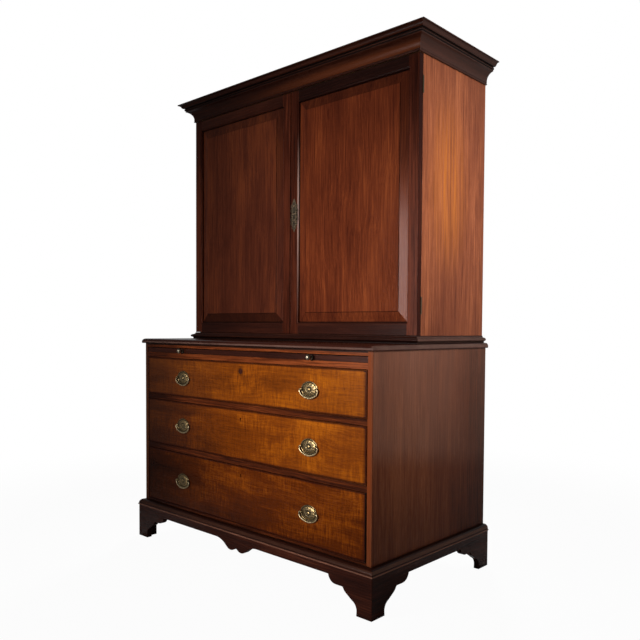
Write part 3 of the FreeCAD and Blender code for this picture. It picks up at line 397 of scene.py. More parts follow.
class Finish:
    """A material and the nodes that make it."""

    def __init__(self, name):
        self.material = bpy.data.materials.new(name)
        self.material.use_nodes = True
        self.tree = self.material.node_tree
        self.tree.nodes.clear()

    def add(self, kind, settings=None, inputs=None, output=0):
        """One node: its settings come first, then the values or links of its sockets."""
        node = self.tree.nodes.new(kind)
        for key, value in (settings or {}).items():
            setattr(node, key, value)
        for key, value in (inputs or {}).items():
            if isinstance(value, Wire):
                self.tree.links.new(value.socket, node.inputs[key])
            else:
                node.inputs[key].default_value = value
        return Wire(self, node.outputs[output]) if len(node.outputs) else None

    def mix(self, factor, first, second):
        """Blend of two colours."""
        return self.add("ShaderNodeMix", {"data_type": "RGBA"}, {0: factor, 6: first, 7: second}, output=2)

    def ramp(self, value, stops, tones):
        """Colour that goes through a row of tones, each full at its stop."""
        colour = self.add("ShaderNodeValToRGB", {}, {0: value})
        elements = colour.socket.node.color_ramp.elements
        while len(elements) < len(stops):
            elements.new(1.0)
        for element, stop, tone in zip(elements, stops, tones):
            element.position = stop
            element.color = tone
        return colour

    def span(self, value, low, high):
        """Value from 0 at low to 1 at high, held between."""
        settings = {"interpolation_type": "SMOOTHSTEP"}
        return self.add("ShaderNodeMapRange", settings, {0: value, 1: low, 2: high, 3: 0.0, 4: 1.0})

    def band(self, value, rise, fall):
        """1 between a rise and a fall, each from where it begins to where it ends."""
        return self.span(value, *rise) * (1 - self.span(value, *fall))

    def place(self):
        """Object coordinates as one vector."""
        return self.add("ShaderNodeTexCoord", output="Object")

    def axes(self):
        """The three object coordinates."""
        x = self.add("ShaderNodeSeparateXYZ", {}, {0: self.place()})
        return x, x.other(1), x.other(2)

    def noise(self, place, stretch, detail=2.0, roughness=0.5, shift=0.0):
        """Noise with a number of waves to the metre along each axis."""
        moved = (shift, shift * 0.7, shift * 1.3)
        scaled = self.add("ShaderNodeMapping", {}, {0: place, 1: moved, 3: stretch})
        inputs = {"Vector": scaled, "Scale": 1.0, "Detail": detail, "Roughness": roughness}
        return self.add("ShaderNodeTexNoise", {}, inputs)

    def inside(self, x, z, low, high):
        """Distance in from the nearest edge of an upright rectangle."""
        across = (high.x - low.x) / 2 - abs(x - (high.x + low.x) / 2)
        up = (high.z - low.z) / 2 - abs(z - (high.z + low.z) / 2)
        return across.maths("MINIMUM", across, up)

    def oval(self, first, second, middle, reach):
        """Distance from the middle of an oval, 1 on its line."""
        across = (first - middle[0]) / reach[0]
        up = (second - middle[1]) / reach[1]
        return (across * across + up * up) ** 0.5

    def crevice(self, reach):
        """1 deep in corners and joints, 0 in the open."""
        shade = self.add("ShaderNodeAmbientOcclusion", {"samples": 8}, {"Distance": reach}, output=1)
        return 1 - shade

    def soft_normal(self, radius):
        """Normal rounded over sharp edges."""
        return self.add("ShaderNodeBevel", {"samples": 6}, {"Radius": radius})

    def bump(self, relief, strength, distance, soft):
        """Normal of a surface with a fine relief."""
        inputs = {"Strength": strength, "Distance": distance, "Height": relief, "Normal": soft}
        return self.add("ShaderNodeBump", {}, inputs)

    def edge(self, soft):
        """1 on sharp edges, 0 on flat faces."""
        flat = self.add("ShaderNodeNewGeometry", output="Normal")
        measure = {"operation": "DOT_PRODUCT"}
        match = self.add("ShaderNodeVectorMath", measure, {0: soft, 1: flat}, output=1)
        return self.span(1 - match, 0.01, 0.16)

    def finish(self, inputs):
        """Close the material with its surface."""
        surface = self.add("ShaderNodeBsdfPrincipled", {}, inputs)
        self.add("ShaderNodeOutputMaterial", {}, {"Surface": surface})
        return self.material


class Sky(Finish):
    """The world's nodes."""

    def __init__(self, name):
        world = bpy.data.worlds.new(name)
        world.use_nodes = True
        bpy.context.scene.world = world
        self.tree = world.node_tree
        self.tree.nodes.clear()


def on_return(finish, half, front):
    """1 on the side returns of a mitred moulding, 0 on its front."""
    x, y, z = finish.axes()
    return (y - front) > (half - abs(x))


def grain_place(finish, grain, mitre=None):
    """Object coordinates, turned so that the first one runs along the grain."""
    x, y, z = finish.axes()
    along, across, depth = {"x": (x, z, y), "y": (y, z, x), "z": (z, x, y)}[grain]
    if mitre:
        side = on_return(finish, *mitre)
        along = x + (y - x) * side
        depth = y + (x - y) * side
    return finish.add("ShaderNodeCombineXYZ", {}, {0: along, 1: across, 2: depth})


def mahogany(name, grain, tones, shift, ripple=0.0, streaks=1.0, clouds=0.8, waver=0.03, gloss=0.26,
             shine=0.1, mitre=None, lift=None, marks=None):
    """Polished mahogany: drifts of tone, ribbon streaks, fibre, pores and a ripple where it is figured."""
    finish = Finish(name)
    straight = grain_place(finish, grain, mitre)
    sway = (finish.noise(straight, (1.8, 5.0, 5.0), 2.0, 0.5, shift + 11.0) - 0.5) * waver
    aside = finish.add("ShaderNodeCombineXYZ", {}, {1: sway, 2: sway})
    place = finish.add("ShaderNodeVectorMath", {"operation": "ADD"}, {0: straight, 1: aside})
    drift = finish.noise(place, (1.4, 5.0, 5.0), 3.0, 0.55, shift)
    ribbon = finish.noise(place, (0.9, 34.0, 34.0), 3.0, 0.6, shift + 3.0)
    streak = finish.noise(place, (4.5, 190.0, 190.0), 4.0, 0.65, shift + 7.0)
    fibre = finish.noise(place, (18.0, 1100.0, 1100.0), 2.0, 0.6, shift)
    pores = finish.span(finish.noise(place, (70.0, 2400.0, 2400.0), 1.0, 0.5, shift + 1.0), 0.60, 0.72)
    tone = 0.5 + (drift - 0.5) * clouds + streaks * ((ribbon - 0.5) * 0.4 + (streak - 0.5) * 0.8)
    tone = tone + (fibre - 0.5) * 0.5
    if ripple:
        wave = finish.noise(place, (130.0, 20.0, 20.0), 2.0, 0.7, shift + 5.0)
        patch = finish.span(finish.noise(place, (4.5, 10.0, 10.0), 2.0, 0.5, shift + 9.0), 0.38, 0.62)
        tone = tone + (wave - 0.5) * (0.4 + 0.6 * patch) * ripple + (patch - 0.5) * 0.14
    if lift:
        tone = tone + lift(finish)
    colour = finish.ramp(tone, wood_stops, tones)
    soft = finish.soft_normal(radius=0.0016)
    crevice = finish.crevice(reach=0.014)
    worn = finish.edge(soft) * (0.3 + streak * 0.6)
    colour = finish.mix(pores * 0.5, colour, tones[0])
    colour = finish.mix(worn * 0.45, colour, tones[2])
    for share, mark in (marks(finish) if marks else []):
        colour = finish.mix(share, colour, mark)
    # Dirt and painted shade in corners and joints, from ambient occlusion
    colour = finish.mix(finish.span(crevice, 0.14, 0.70) * 0.92, colour, grime_and_shade)
    relief = fibre * 0.5 + streak * 0.3 - pores * 0.7
    roughness = gloss + (fibre - 0.5) * 0.10 + (drift - 0.5) * 0.14 + pores * 0.12 + crevice * 0.25
    return finish.finish({
        "Base Color": colour,
        "Roughness": roughness,
        "Specular IOR Level": shine,
        "Normal": finish.bump(relief, strength=0.12, distance=0.0004, soft=soft),
    })


def panel_marks(door):
    """Painted shade lines round a door's panel and its field, painted shade on its bevels and a painted
    highlight on the right one.
    """
    low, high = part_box(door + "_stiles")
    top, bottom, glow = bevel_light_and_shade[door]

    def marks(finish):
        x, y, z = finish.axes()
        within = finish.inside(x, z, low, high)
        blot = finish.noise(finish.place(), (24.0, 24.0, 24.0), 3.0)
        # Painted shade lines at the step of the field and where the panel meets the frame
        field = 1 - finish.span(abs(within - field_inset), 0.3 * field_line, field_line)
        rim = 1 - finish.span(within - panel_inset, 0.2 * panel_line, panel_line)
        side = (high.x - low.x) / 2 - abs(x - (high.x + low.x) / 2)
        above = high.z - z
        below = z - low.z
        on_top = (above < side) * (above < field_inset)
        on_bottom = (below < side) * (below < field_inset)
        on_right = (high.x - x < field_inset) * (1 - on_top) * (1 - on_bottom)
        # Painted highlight on the right bevel, painted shade on the upper and lower bevels and on the right
        # bevel's top
        upper = finish.span(z, *bevel_turn)
        return [
            (on_right * (1 - upper) * glow, bevel_highlight),
            (on_top * top + on_bottom * bottom + on_right * upper * top, frame_tones[0]),
            (field * (0.1 + 0.4 * blot + 0.4 * on_bottom), grime_and_shade),
            (rim * grime_and_shade_share, grime_and_shade),
        ]

    return marks


def stile_lift(finish):
    """Hinge stiles are paler except on the edge and darkened upwards by painted shade, and the left meeting
    stile is worn pale.
    """
    x, y, z = finish.axes()
    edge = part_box("right_door_stiles")[1].x
    outer = finish.span(abs(x), *hinge_stile) * (hinge_lift - hinge_top_shade * finish.span(z, *hinge_top))
    middle = finish.band(z, meeting_rise, meeting_fall)
    worn = finish.span(x, *meeting_stile) * (x < 0) * middle * meeting_lift
    return outer + worn - finish.span(x, edge - edge_start, edge - edge_full) * edge_drop


def stile_marks(finish):
    """Painted highlight on the inner edge of the right door's meeting stile, and old polish round its key
    plate with painted shade in its piercings.
    """
    x, y, z = finish.axes()
    low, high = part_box("right_door_stiles")
    edge = low.x + panel_inset - arris_width
    line = finish.band(x, (edge, edge + 0.4 * arris_width), (edge + arris_width, edge + 2 * arris_width))
    top = high.z - panel_inset
    rise = [low.z + height for height in arris_rise]
    fall = [top - depth for depth in arris_fall]
    middle = (escutcheon_low + escutcheon_high) / 2
    # Old polish round the key plate, with painted shade where the wood shows through its piercings
    away = finish.oval(x, z, (middle.x, middle.z - plate_dark_drop), plate_dark_reach)
    dirt_and_shade = 1 - finish.span(away, *plate_dark_edge)
    return [(line * finish.band(z, rise, fall) * arris_share, arris_light), (dirt_and_shade * grime_and_shade_share, grime_and_shade)]


def rail_lift(finish):
    """Painted light on the left door's upper rail, and painted shade on the right door's."""
    x, y, z = finish.axes()
    return finish.span(z, *upper_rails) * (upper_rail_light - shaded_rail_drop * finish.span(x, *shaded_rail))


def drawer_lift(finish):
    """Painted shade at the left end and painted light at the right end of a drawer front."""
    x = finish.axes()[0]
    return finish.span(x, *lit_right_end) * right_light_lift - (1 - finish.span(x, *shaded_left_end)) * left_shade_drop


def drawer_marks(drawer):
    """Dark bead round a drawer and dark border inside it, stain with painted shade at the gaps, painted
    shade at the right end, old holes and the smudge of a filled keyhole.
    """
    low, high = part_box(drawer + "_front")

    def marks(finish):
        x, y, z = finish.axes()
        place = finish.place()

        def spot(point, radius):
            measure = {"operation": "DISTANCE"}
            gap = finish.add("ShaderNodeVectorMath", measure, {0: place, 1: point}, output=1)
            return 1 - finish.span(gap, 0.5 * radius, 1.3 * radius)

        blot = finish.noise(place, (9.0, 9.0, 30.0), 4.0, 0.6)
        bead = finish.span(chest_front - y, 0.3 * bead_proud, bead_proud)
        border = 1 - finish.span(finish.inside(x, z, low, high), border_start, border_width * (0.5 + blot))
        # Painted shade and grey sheen towards the left end
        dull = (1 - finish.span(x, *shaded_left_end)) * (0.35 + 0.5 * blot)
        # Stained bead and border with painted shade at the gaps, and painted shade at the right end
        end = 1 - finish.span(high.x - x, 0.3 * shaded_right_end, shaded_right_end)
        stain_and_shade = bead * 0.75 + (1 - bead) * (border * (0.3 + blot) + end * 0.7)
        dark = bead * 0.15
        if drawer in old_holes:
            across, up = old_holes[drawer]
            dark = dark + spot((across, chest_front, up), hole_radius) * 0.9
        if drawer == "top_drawer":
            dark = dark + spot(plug_place, plug_smudge) * 0.55
        # Painted shadow in the bottom drawer's right gap
        if drawer == "bottom_drawer":
            dark = dark + (1 - finish.span(high.x - x, 0.5 * bottom_gap_shadow, bottom_gap_shadow))
        return [(dull, shaded_left_tones[drawer]), (stain_and_shade, bead_stain_and_shade), (dark, grime_and_shade)]

    return marks


def chest_rail_lift(finish):
    """Rails of the chest are warmest by the slide and darkened by painted shade at their left ends."""
    x, y, z = finish.axes()
    left = 1 - finish.span(x, *rail_left)
    return finish.span(z, *slide_rails) * slide_rail_lift - rail_drop - rail_left_shade * left


def chest_rail_marks(finish):
    """Painted shadow on the top rail, close under the chest's top."""
    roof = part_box("front_rails")[1].z
    dirt_and_shade = finish.span(finish.axes()[2], roof - rail_shadow_start, roof - rail_shadow_full)
    return [(dirt_and_shade * grime_and_shade_share, grime_and_shade)]


def side_marks(finish):
    """Painted golden pool of light on a cupboard side."""
    x, y, z = finish.axes()
    patch = 1 - finish.span(finish.oval(y, z, light_patch_middle, light_patch_reach), 0.0, 1.0)
    streak = finish.noise(finish.place(), (110.0, 110.0, 3.0), 3.0)
    return [(patch * (finish.span(streak, 0.3, 0.7) * 0.7 + 0.1), painted_light_gold)]


def chest_side_lift(finish):
    """Painted shade darkens the chest sides towards the back, the top and the foot."""
    x, y, z = finish.axes()
    rear = finish.span(y, *rear_part) * rear_shade
    upper = finish.span(z, *top_part) * top_shade
    lower = (1 - finish.span(z, *foot_part)) * foot_shade
    return chest_side_gain - rear - upper - lower


def chest_side_marks(finish):
    """Painted grey sheen on the upper half of a chest side, painted light on the right front edge and
    painted shade on the left one.
    """
    x, y, z = finish.axes()
    edge = 1 - finish.span(y, chest_front + front_edge[0], chest_front + front_edge[1])
    place = finish.place()
    streak = finish.noise(place, (160.0, 160.0, 4.0), 3.0)
    cloud = finish.noise(place, (6.0, 6.0, 4.0), 3.0)
    forward = 1 - sheen_loss * finish.span(y, *sheen_rear)
    raised = finish.span(z + sheen_slope * y, *sheen_rise)
    sheen = (1 - edge) * forward * raised * (0.10 + 0.24 * cloud)
    # Painted light on the right front edge, less at its corner and foot, and painted shade on the left one
    inner = 1 - corner_loss * finish.span(abs(x), chest_half - corner_start, chest_half - corner_full)
    upper = lit_edge_foot + (1 - lit_edge_foot) * finish.span(z, *lit_edge_rise)
    lit_edge = edge * inner * upper * finish.span(streak, 0.15, 0.65) * (x > 0)
    return [(sheen, chest_sheen), (lit_edge, chest_edge_light), (edge * (x < 0) * left_edge_shade, grime_and_shade)]


def patchy_band(finish, node, low, high):
    """Patchy band on a moulding between two heights above its foot, for painted highlights."""
    z = finish.axes()[2]
    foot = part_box(node)[0].z
    wear = finish.noise(finish.place(), (14.0, 14.0, 60.0), 3.0)
    band = finish.band(z, (foot + low - band_edge, foot + low), (foot + high, foot + high + band_edge))
    return band * (0.25 + 0.9 * wear)


def base_marks(finish):
    """Painted highlights on the nose and the upper round of the moulding above the plinth."""
    nose = patchy_band(finish, "base_moulding", *nose_band)
    upper = patchy_band(finish, "base_moulding", *round_band)
    side = on_return(finish, *mitres["base_moulding"])
    return [(upper * (0.2 + 0.4 * side), round_highlight), (nose, nose_highlight)]


def waist_marks(finish):
    """Painted grey highlight on the side returns of the moulding at the cupboard's foot."""
    side = on_return(finish, *mitres["waist_moulding"])
    return [(side * patchy_band(finish, "waist_moulding", *waist_band) * 0.45, grey_highlight)]


def top_marks(finish):
    """Painted grey highlights on the right and front edges of the chest's top, and painted shadow at that
    edge's foot.
    """
    x, y, z = finish.axes()
    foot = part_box("chest_top")[0].z
    right = finish.span(x, chest_half, chest_half + top_edge)
    front = (1 - right) * (1 - finish.span(y, chest_front - top_edge, chest_front))
    dirt_and_shade = 1 - finish.span(z, foot + top_shadow[0], foot + top_shadow[1])
    return [
        (right * patchy_band(finish, "chest_top", *top_side_band) * 0.6, grey_highlight),
        (front * patchy_band(finish, "chest_top", *top_front_band) * 0.6, grey_highlight),
        (front * dirt_and_shade * 0.7, grime_and_shade),
    ]


def cove_marks(finish):
    """Painted warm light in the hollow of the cornice's front, painted light on the side returns and
    painted shade in the quirks.
    """
    x, y, z = finish.axes()
    side = on_return(finish, *mitres["cornice_moulding"])
    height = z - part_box("cornice_moulding")[0].z
    cove = finish.band(height, cove_rise, cove_fall)
    marks = [
        ((1 - side) * cove * finish.span(x, *cove_lit) * 0.55, cove_glow),
        (side * 0.09, grey_highlight),
    ]
    for quirk in cornice_quirks:
        line = 1 - finish.span(abs(height - quirk), 0.5 * quirk_line, quirk_line)
        marks.append((line * grime_and_shade_share, grime_and_shade))
    return marks


def oak_lining(name, grain, shift):
    """Dry unpolished oak with open grain."""
    finish = Finish(name)
    place = grain_place(finish, grain)
    drift = finish.noise(place, (1.5, 6.0, 6.0), 3.0, 0.55, shift)
    growth = finish.noise(place, (2.0, 95.0, 95.0), 3.0, 0.6, shift + 2.0)
    fibre = finish.noise(place, (22.0, 1300.0, 1300.0), 2.0, 0.6, shift)
    pores = finish.span(finish.noise(place, (55.0, 1700.0, 1700.0), 1.0, 0.5, shift + 4.0), 0.58, 0.72)
    tone = 0.5 + (drift - 0.5) * 0.9 + (growth - 0.5) * 0.9 + (fibre - 0.5) * 0.35
    colour = finish.ramp(tone, lining_stops, lining_tones)
    colour = finish.mix(pores * 0.6, colour, lining_pores)
    # Dirt and painted shade in corners and joints, from ambient occlusion
    dirt_and_shade = finish.span(finish.crevice(reach=0.03), 0.3, 0.95) * 0.6
    soft = finish.soft_normal(radius=0.001)
    relief = fibre * 0.4 - pores * 0.8
    return finish.finish({
        "Base Color": finish.mix(dirt_and_shade, colour, lining_dirt_and_shade),
        "Roughness": 0.68 + (fibre - 0.5) * 0.2,
        "Specular IOR Level": 0.2,
        "Normal": finish.bump(relief, strength=0.25, distance=0.0005, soft=soft),
    })


def leaf_relief(finish):
    """Age of the escutcheon's leaves: dark between bright rims."""
    height = escutcheon_high.y - finish.axes()[1]
    return (1 - finish.span(height, *leaf_rim)) * 0.7


def stamped_relief(finish):
    """Age of a pull's plate by its height above the drawer: dark groove and dome, bright rim and boss."""
    height = chest_front - finish.axes()[1]
    dome = finish.band(height, dome_rise, dome_fall)
    groove = 1 - finish.span(height, *groove_top)
    return dome * 0.26 + groove * 0.6 - 0.12


def aged_brass(name, shift, tones, age=0.0, dull=0.36, relief_age=None):
    """Handled brass: bright where it is touched, brown in the hollows and all over where it is old."""
    finish = Finish(name)
    place = finish.place()
    cloud = finish.noise(place, (90.0, 90.0, 90.0), 4.0, 0.6, shift)
    speck = finish.noise(place, (900.0, 900.0, 900.0), 2.0, 0.6, shift)
    scratch = finish.noise(place, (2600.0, 300.0, 340.0), 2.0, 0.5, shift)
    soft = finish.soft_normal(radius=0.0004)
    crevice = finish.crevice(reach=0.005)
    rubbed = finish.edge(soft)
    if relief_age:
        age = age + relief_age(finish)
    patina = finish.span(age + crevice * 1.5 + (cloud - 0.5) * 0.8 + (speck - 0.5) * 0.5, 0.08, 0.62)
    metal = finish.mix(cloud, tones[0], tones[1])
    metal = finish.mix(rubbed * 0.5, metal, tones[2])
    relief = speck * 0.4 + scratch * 0.4
    return finish.finish({
        "Base Color": finish.mix(patina * 0.92, metal, patina_tone),
        "Metallic": 1.0 - patina * 0.45,
        "Roughness": dull + patina * 0.25 + (scratch - 0.5) * 0.15,
        "Normal": finish.bump(relief, strength=0.15, distance=0.0002, soft=soft),
    })


def dress(material, *nodes):
    """Give nodes of the frame their finish."""
    for node in nodes:
        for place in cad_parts[node].material_slots:
            place.material = material


def dress_wood(node, grain, tones, shift, **looks):
    """Give one node a mahogany of its own."""
    dress(mahogany(node, grain, tones, shift, **looks), node)


def start_piece():
    """Nothing is selected when a new piece is begun."""
    bpy.ops.object.select_all(action="DESELECT")


def select_points(piece, wanted):
    """Select the points of a piece in edit mode that pass a test on their place."""
    bpy.ops.mesh.select_mode(type="VERT")
    bpy.ops.mesh.select_all(action="DESELECT")
    mesh = bmesh.from_edit_mesh(piece.data)
    for point in mesh.verts:
        point.select = wanted(point.co)
    mesh.select_flush(True)
    bmesh.update_edit_mesh(piece.data)


def close_piece(name, angle):
    """Name the active piece, weld its points and smooth its curves up to an angle in degrees."""
    piece = bpy.context.object
    bpy.ops.object.mode_set(mode="EDIT")
    bpy.ops.mesh.select_all(action="SELECT")
    bpy.ops.mesh.remove_doubles(threshold=1e-6)
    bpy.ops.mesh.normals_make_consistent()
    bpy.ops.object.mode_set(mode="OBJECT")
    bpy.ops.object.shade_smooth_by_angle(angle=math.radians(angle))
    piece.name = name
    piece.data.name = name
    return piece


def start_ring(sides, radius, fill, place, turn):
    """New ring of points, opened in edit mode with all of it selected."""
    start_piece()
    bpy.ops.mesh.primitive_circle_add(vertices=sides, radius=radius, fill_type=fill, location=place,
                                      rotation=turn)
    bpy.ops.object.transform_apply()
    bpy.ops.object.mode_set(mode="EDIT")
    bpy.ops.mesh.select_all(action="SELECT")


def lathe(profile, place, sides, across=1.0):
    """Turned piece that faces the front, drawn ring by ring from its back and left in edit mode."""
    radius, height = profile[0]
    spot = place - Vector((0, height, 0))
    start_ring(sides, radius, "NGON", spot, (math.pi / 2, 0, 0))
    bpy.ops.transform.resize(value=(across, 1.0, 1.0), center_override=spot)
    for next_radius, next_height in profile[1:]:
        spot = place - Vector((0, next_height, 0))
        step = (0, height - next_height, 0)
        bpy.ops.mesh.extrude_region_move(TRANSFORM_OT_translate={"value": step})
        share = next_radius / radius
        bpy.ops.transform.resize(value=(share, 1.0, share), center_override=spot)
        radius, height = next_radius, next_height
    return bpy.context.object


def copied(piece, name, shift):
    """Copy of a piece with its own mesh, moved in its mesh."""
    copy = piece.copy()
    copy.data = piece.data.copy()
    copy.data.transform(Matrix.Translation(shift))
    copy.name = name
    copy.data.name = name
    bpy.context.scene.collection.objects.link(copy)
    return copy


def place_piece(piece, body, slot, material, *nodes):
    """Hang a piece on its body, with its finish, in place of nodes of the frame."""
    piece.data.materials.clear()
    piece.data.materials.append(material)
    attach(piece, body)
    if nodes:
        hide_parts(*nodes)


def combined(piece, tool, operation):
    """Piece after a second one has been added to it or cut from it."""
    start_piece()
    bpy.context.view_layer.objects.active = piece
    piece.select_set(True)
    bpy.ops.object.modifier_add(type="BOOLEAN")
    change = piece.modifiers[-1]
    change.operation = operation
    change.solver = "EXACT"
    change.object = tool
    bpy.ops.object.modifier_apply(modifier=change.name)
    bpy.data.objects.remove(tool)
    return piece


def bored(piece, place, radius, reach, turn):
    """Piece with a round hole through it."""
    start_piece()
    bpy.ops.mesh.primitive_cylinder_add(vertices=bore_sides, radius=radius, depth=reach, location=place,
                                        rotation=turn)
    return combined(piece, bpy.context.object, "DIFFERENCE")


def pull_post(place):
    """Turned post with an eye for the bail, its stem and the nut inside the drawer front."""
    lathe(post_profile, place, post_sides)
    post = close_piece("pull_post", angle=30)
    return bored(post, Vector((place.x, bail_axis, place.z)), eye_radius, eye_bore, (0, math.pi / 2, 0))


def stamped_plate(place):
    """Oval plate with a ring of beads, a raised ring and a fluted middle."""
    half_up = plate_height / 2
    profile = [(share * half_up, height) for share, height in plate_profile]
    plate = lathe(profile, place, plate_sides, across=plate_width / plate_height)

    def on_flute(point):
        across = (point.x - place.x) / (plate_width / 2)
        up = (point.z - place.z) / half_up
        share = math.hypot(across, up)
        turn = math.atan2(up, across) * flute_count
        return flute_band[0] < share < flute_band[1] and math.cos(turn) > flute_cut

    select_points(plate, on_flute)
    bpy.ops.transform.translate(value=(0, -flute_rise, 0))
    for index in range(bead_count):
        turn = 2 * math.pi * (index + 0.5) / bead_count
        across = bead_share * plate_width / 2 * math.cos(turn)
        up = bead_share * half_up * math.sin(turn)
        spot = place + Vector((across, -bead_height, up))
        bpy.ops.mesh.primitive_uv_sphere_add(segments=bead_sides, ring_count=bead_rings, radius=bead_radius,
                                             location=spot)
    bpy.ops.object.mode_set(mode="OBJECT")
    return close_piece("pull_plate", angle=40)


def oval_pull(place):
    """Plate with its two posts as one piece."""
    plate = stamped_plate(place)
    posts = [pull_post(place + Vector((side * post_spread, 0, 0))) for side in (-1, 1)]
    start_piece()
    for part in (*posts, plate):
        part.select_set(True)
    bpy.context.view_layer.objects.active = plate
    bpy.ops.object.join()
    return plate


def bent_bail(place):
    """Wire bent from one pin, round the loop, to the other pin."""
    run = bail_half_width - bail_shoulder
    deep = bail_drop - bail_bend
    base_radius = (run ** 2 + deep ** 2 - bail_shoulder ** 2) / (2 * (deep - bail_shoulder))
    base_up = base_radius - bail_drop
    shoulder_turn = math.atan2(bail_bend + base_up, run)
    bend_end = bail_half_width - bail_bend
    arcs = [
        (bend_end, -bail_bend, math.pi / 2, bend_steps),
        (run, -bail_bend, shoulder_turn, shoulder_steps),
        (0.0, base_up, math.pi - 2 * shoulder_turn, loop_steps),
        (-run, -bail_bend, shoulder_turn, shoulder_steps),
        (-bend_end, -bail_bend, math.pi / 2, bend_steps),
    ]
    middle = Vector((place.x, bail_axis, place.z))
    pin_end = middle + Vector((bend_end - bail_pin, 0, 0))
    start_ring(bail_sides, bail_radius, "NOTHING", pin_end, (0, math.pi / 2, 0))
    bpy.ops.mesh.extrude_region_move(TRANSFORM_OT_translate={"value": (bail_pin, 0, 0)})
    for across, up, turn, steps in arcs:
        centre = middle + Vector((across, 0, up))
        bpy.ops.mesh.spin(steps=steps, angle=turn, center=centre, axis=(0, -1, 0))
    bpy.ops.mesh.extrude_region_move(TRANSFORM_OT_translate={"value": (bail_pin, 0, 0)})
    bpy.ops.mesh.select_all(action="SELECT")
    bpy.ops.mesh.remove_doubles(threshold=1e-6)
    bpy.ops.mesh.select_all(action="DESELECT")
    bpy.ops.mesh.select_non_manifold()
    bpy.ops.mesh.fill_holes(sides=0)
    bpy.ops.mesh.select_all(action="SELECT")
    bpy.ops.mesh.normals_make_consistent()
    for reach in bail_swell_reach:
        select_points(bpy.context.object, lambda point: abs(point.x - place.x) < reach)
        bpy.ops.transform.shrink_fatten(value=bail_swell / 2)
    bpy.ops.object.mode_set(mode="OBJECT")
    return close_piece("bail", angle=50)


def make_escutcheon():
    """Old plate of overlapping leaves round the door's keyhole, pierced and cut for the key."""
    middle = (escutcheon_low + escutcheon_high) / 2
    place = Vector((middle.x, escutcheon_high.y, middle.z))
    leaves = [(0.0, *leaf) for leaf in middle_leaves]
    leaves += [(side * x, *leaf) for side in (-1, 1) for x, *leaf in side_leaves]
    plate = None
    for x, z, across, up in leaves:
        profile = [(share * up, height) for share, height in leaf_profile]
        lathe(profile, place + Vector((x, 0, z)), escutcheon_sides, across=across / up)
        leaf = close_piece("leaf", angle=35)
        plate = combined(plate, leaf, "UNION") if plate else leaf
    holes = [(0.0, *hole) for hole in middle_holes] + [(0.0, 0.0, keyhole_radius)]
    holes += [(side * x, *hole) for side in (-1, 1) for x, *hole in side_holes]
    for x, z, radius in holes:
        plate = bored(plate, place + Vector((x, 0, z)), radius, plate_bore, (math.pi / 2, 0, 0))
    start_piece()
    width, drop = keyhole_slot
    bpy.ops.mesh.primitive_cube_add(size=1, location=place - Vector((0, 0, drop / 2)),
                                    scale=(width, plate_bore, drop))
    combined(plate, bpy.context.object, "DIFFERENCE")
    plate = close_piece("door_key_plate", angle=35)
    brass = aged_brass("plate_brass", 6.0, escutcheon_tones, age=0.3, dull=0.5, relief_age=leaf_relief)
    place_piece(plate, "right_door", "aged_brass", brass, "door_escutcheon")


def pull_place(drawer, side):
    """Middle of a pull on the drawer's face."""
    low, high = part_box(drawer + "_pulls")
    reach = high.x - plate_width / 2
    return Vector((side * reach, chest_front, (low.z + high.z) / 2))


def make_pulls():
    """Pulls and bails of the three drawers, made once and copied."""
    brass = aged_brass("pull_brass", 0.0, plate_tones, age=0.22, dull=0.34, relief_age=stamped_relief)
    wire_brass = aged_brass("bail_brass", 1.0, bail_tones, age=-0.6, dull=0.4)
    first = pull_place("top_drawer", -1)
    pull = oval_pull(first)
    bail = bent_bail(first)
    for drawer in drawer_tones:
        for side, word in ((-1, "left"), (1, "right")):
            shift = pull_place(drawer, side) - first
            body = f"{drawer}_{word}_bail"
            plate = copied(pull, f"{drawer}_{word}_pull", shift)
            place_piece(plate, drawer, "aged_brass", brass, drawer + "_pulls")
            loop = copied(bail, f"{drawer}_{word}_loop", shift)
            place_piece(loop, body, "aged_brass", wire_brass, body)
    bpy.data.objects.remove(pull)
    bpy.data.objects.remove(bail)


def make_slide_knobs():
    """Two turned knobs with a rose, a neck and a ball on the front edge of the brushing slide."""
    brass = aged_brass("knob_brass", 2.0, knob_tones)
    low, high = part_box("slide_knobs")
    rise = (low.z + high.z) / 2
    reach = high.x - (high.z - low.z) / 2
    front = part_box("brushing_slide")[0].y
    lathe(knob_profile, Vector((-reach, front, rise)), knob_sides)
    knob = close_piece("slide_knob", angle=35)
    for word, shift in (("left", 0.0), ("right", 2 * reach)):
        piece = copied(knob, f"slide_{word}_knob", Vector((shift, 0, 0)))
        place_piece(piece, "brushing_slide", "aged_brass", brass, "slide_knobs")
    bpy.data.objects.remove(knob)


def make_plug():
    """Disc of wood let into the top drawer's old keyhole."""
    lathe(plug_profile, plug_place, plug_sides)
    plug = close_piece("top_drawer_keyhole_plug", angle=30)
    place_piece(plug, "top_drawer", "mahogany_dark", mahogany("plug_wood", "z", frame_tones, 4.0))


def dress_fronts():
    """Finish of the drawer fronts and of the doors."""
    for order, (drawer, tones) in enumerate(drawer_tones.items()):
        dress_wood(drawer + "_front", "x", tones, 10.3 - 4.3 * order, ripple=0.8, streaks=0.7, waver=0.09,
                   shine=0.07, lift=drawer_lift, marks=drawer_marks(drawer))
    for door, shift, tones in (("left_door", 2.0, left_door_tones), ("right_door", 6.0, right_door_tones)):
        dress_wood(door + "_panel", "z", tones, shift, streaks=1.2, clouds=1.1, waver=0.06, gloss=0.2,
                   shine=0.045, marks=panel_marks(door))
        dress_wood(door + "_stiles", "z", stile_tones, shift + 1.0, streaks=1.6, shine=0.05,
                   lift=stile_lift, marks=stile_marks)
        dress_wood(door + "_rails", "x", frame_tones, shift + 2.0, shine=0.08, lift=rail_lift)


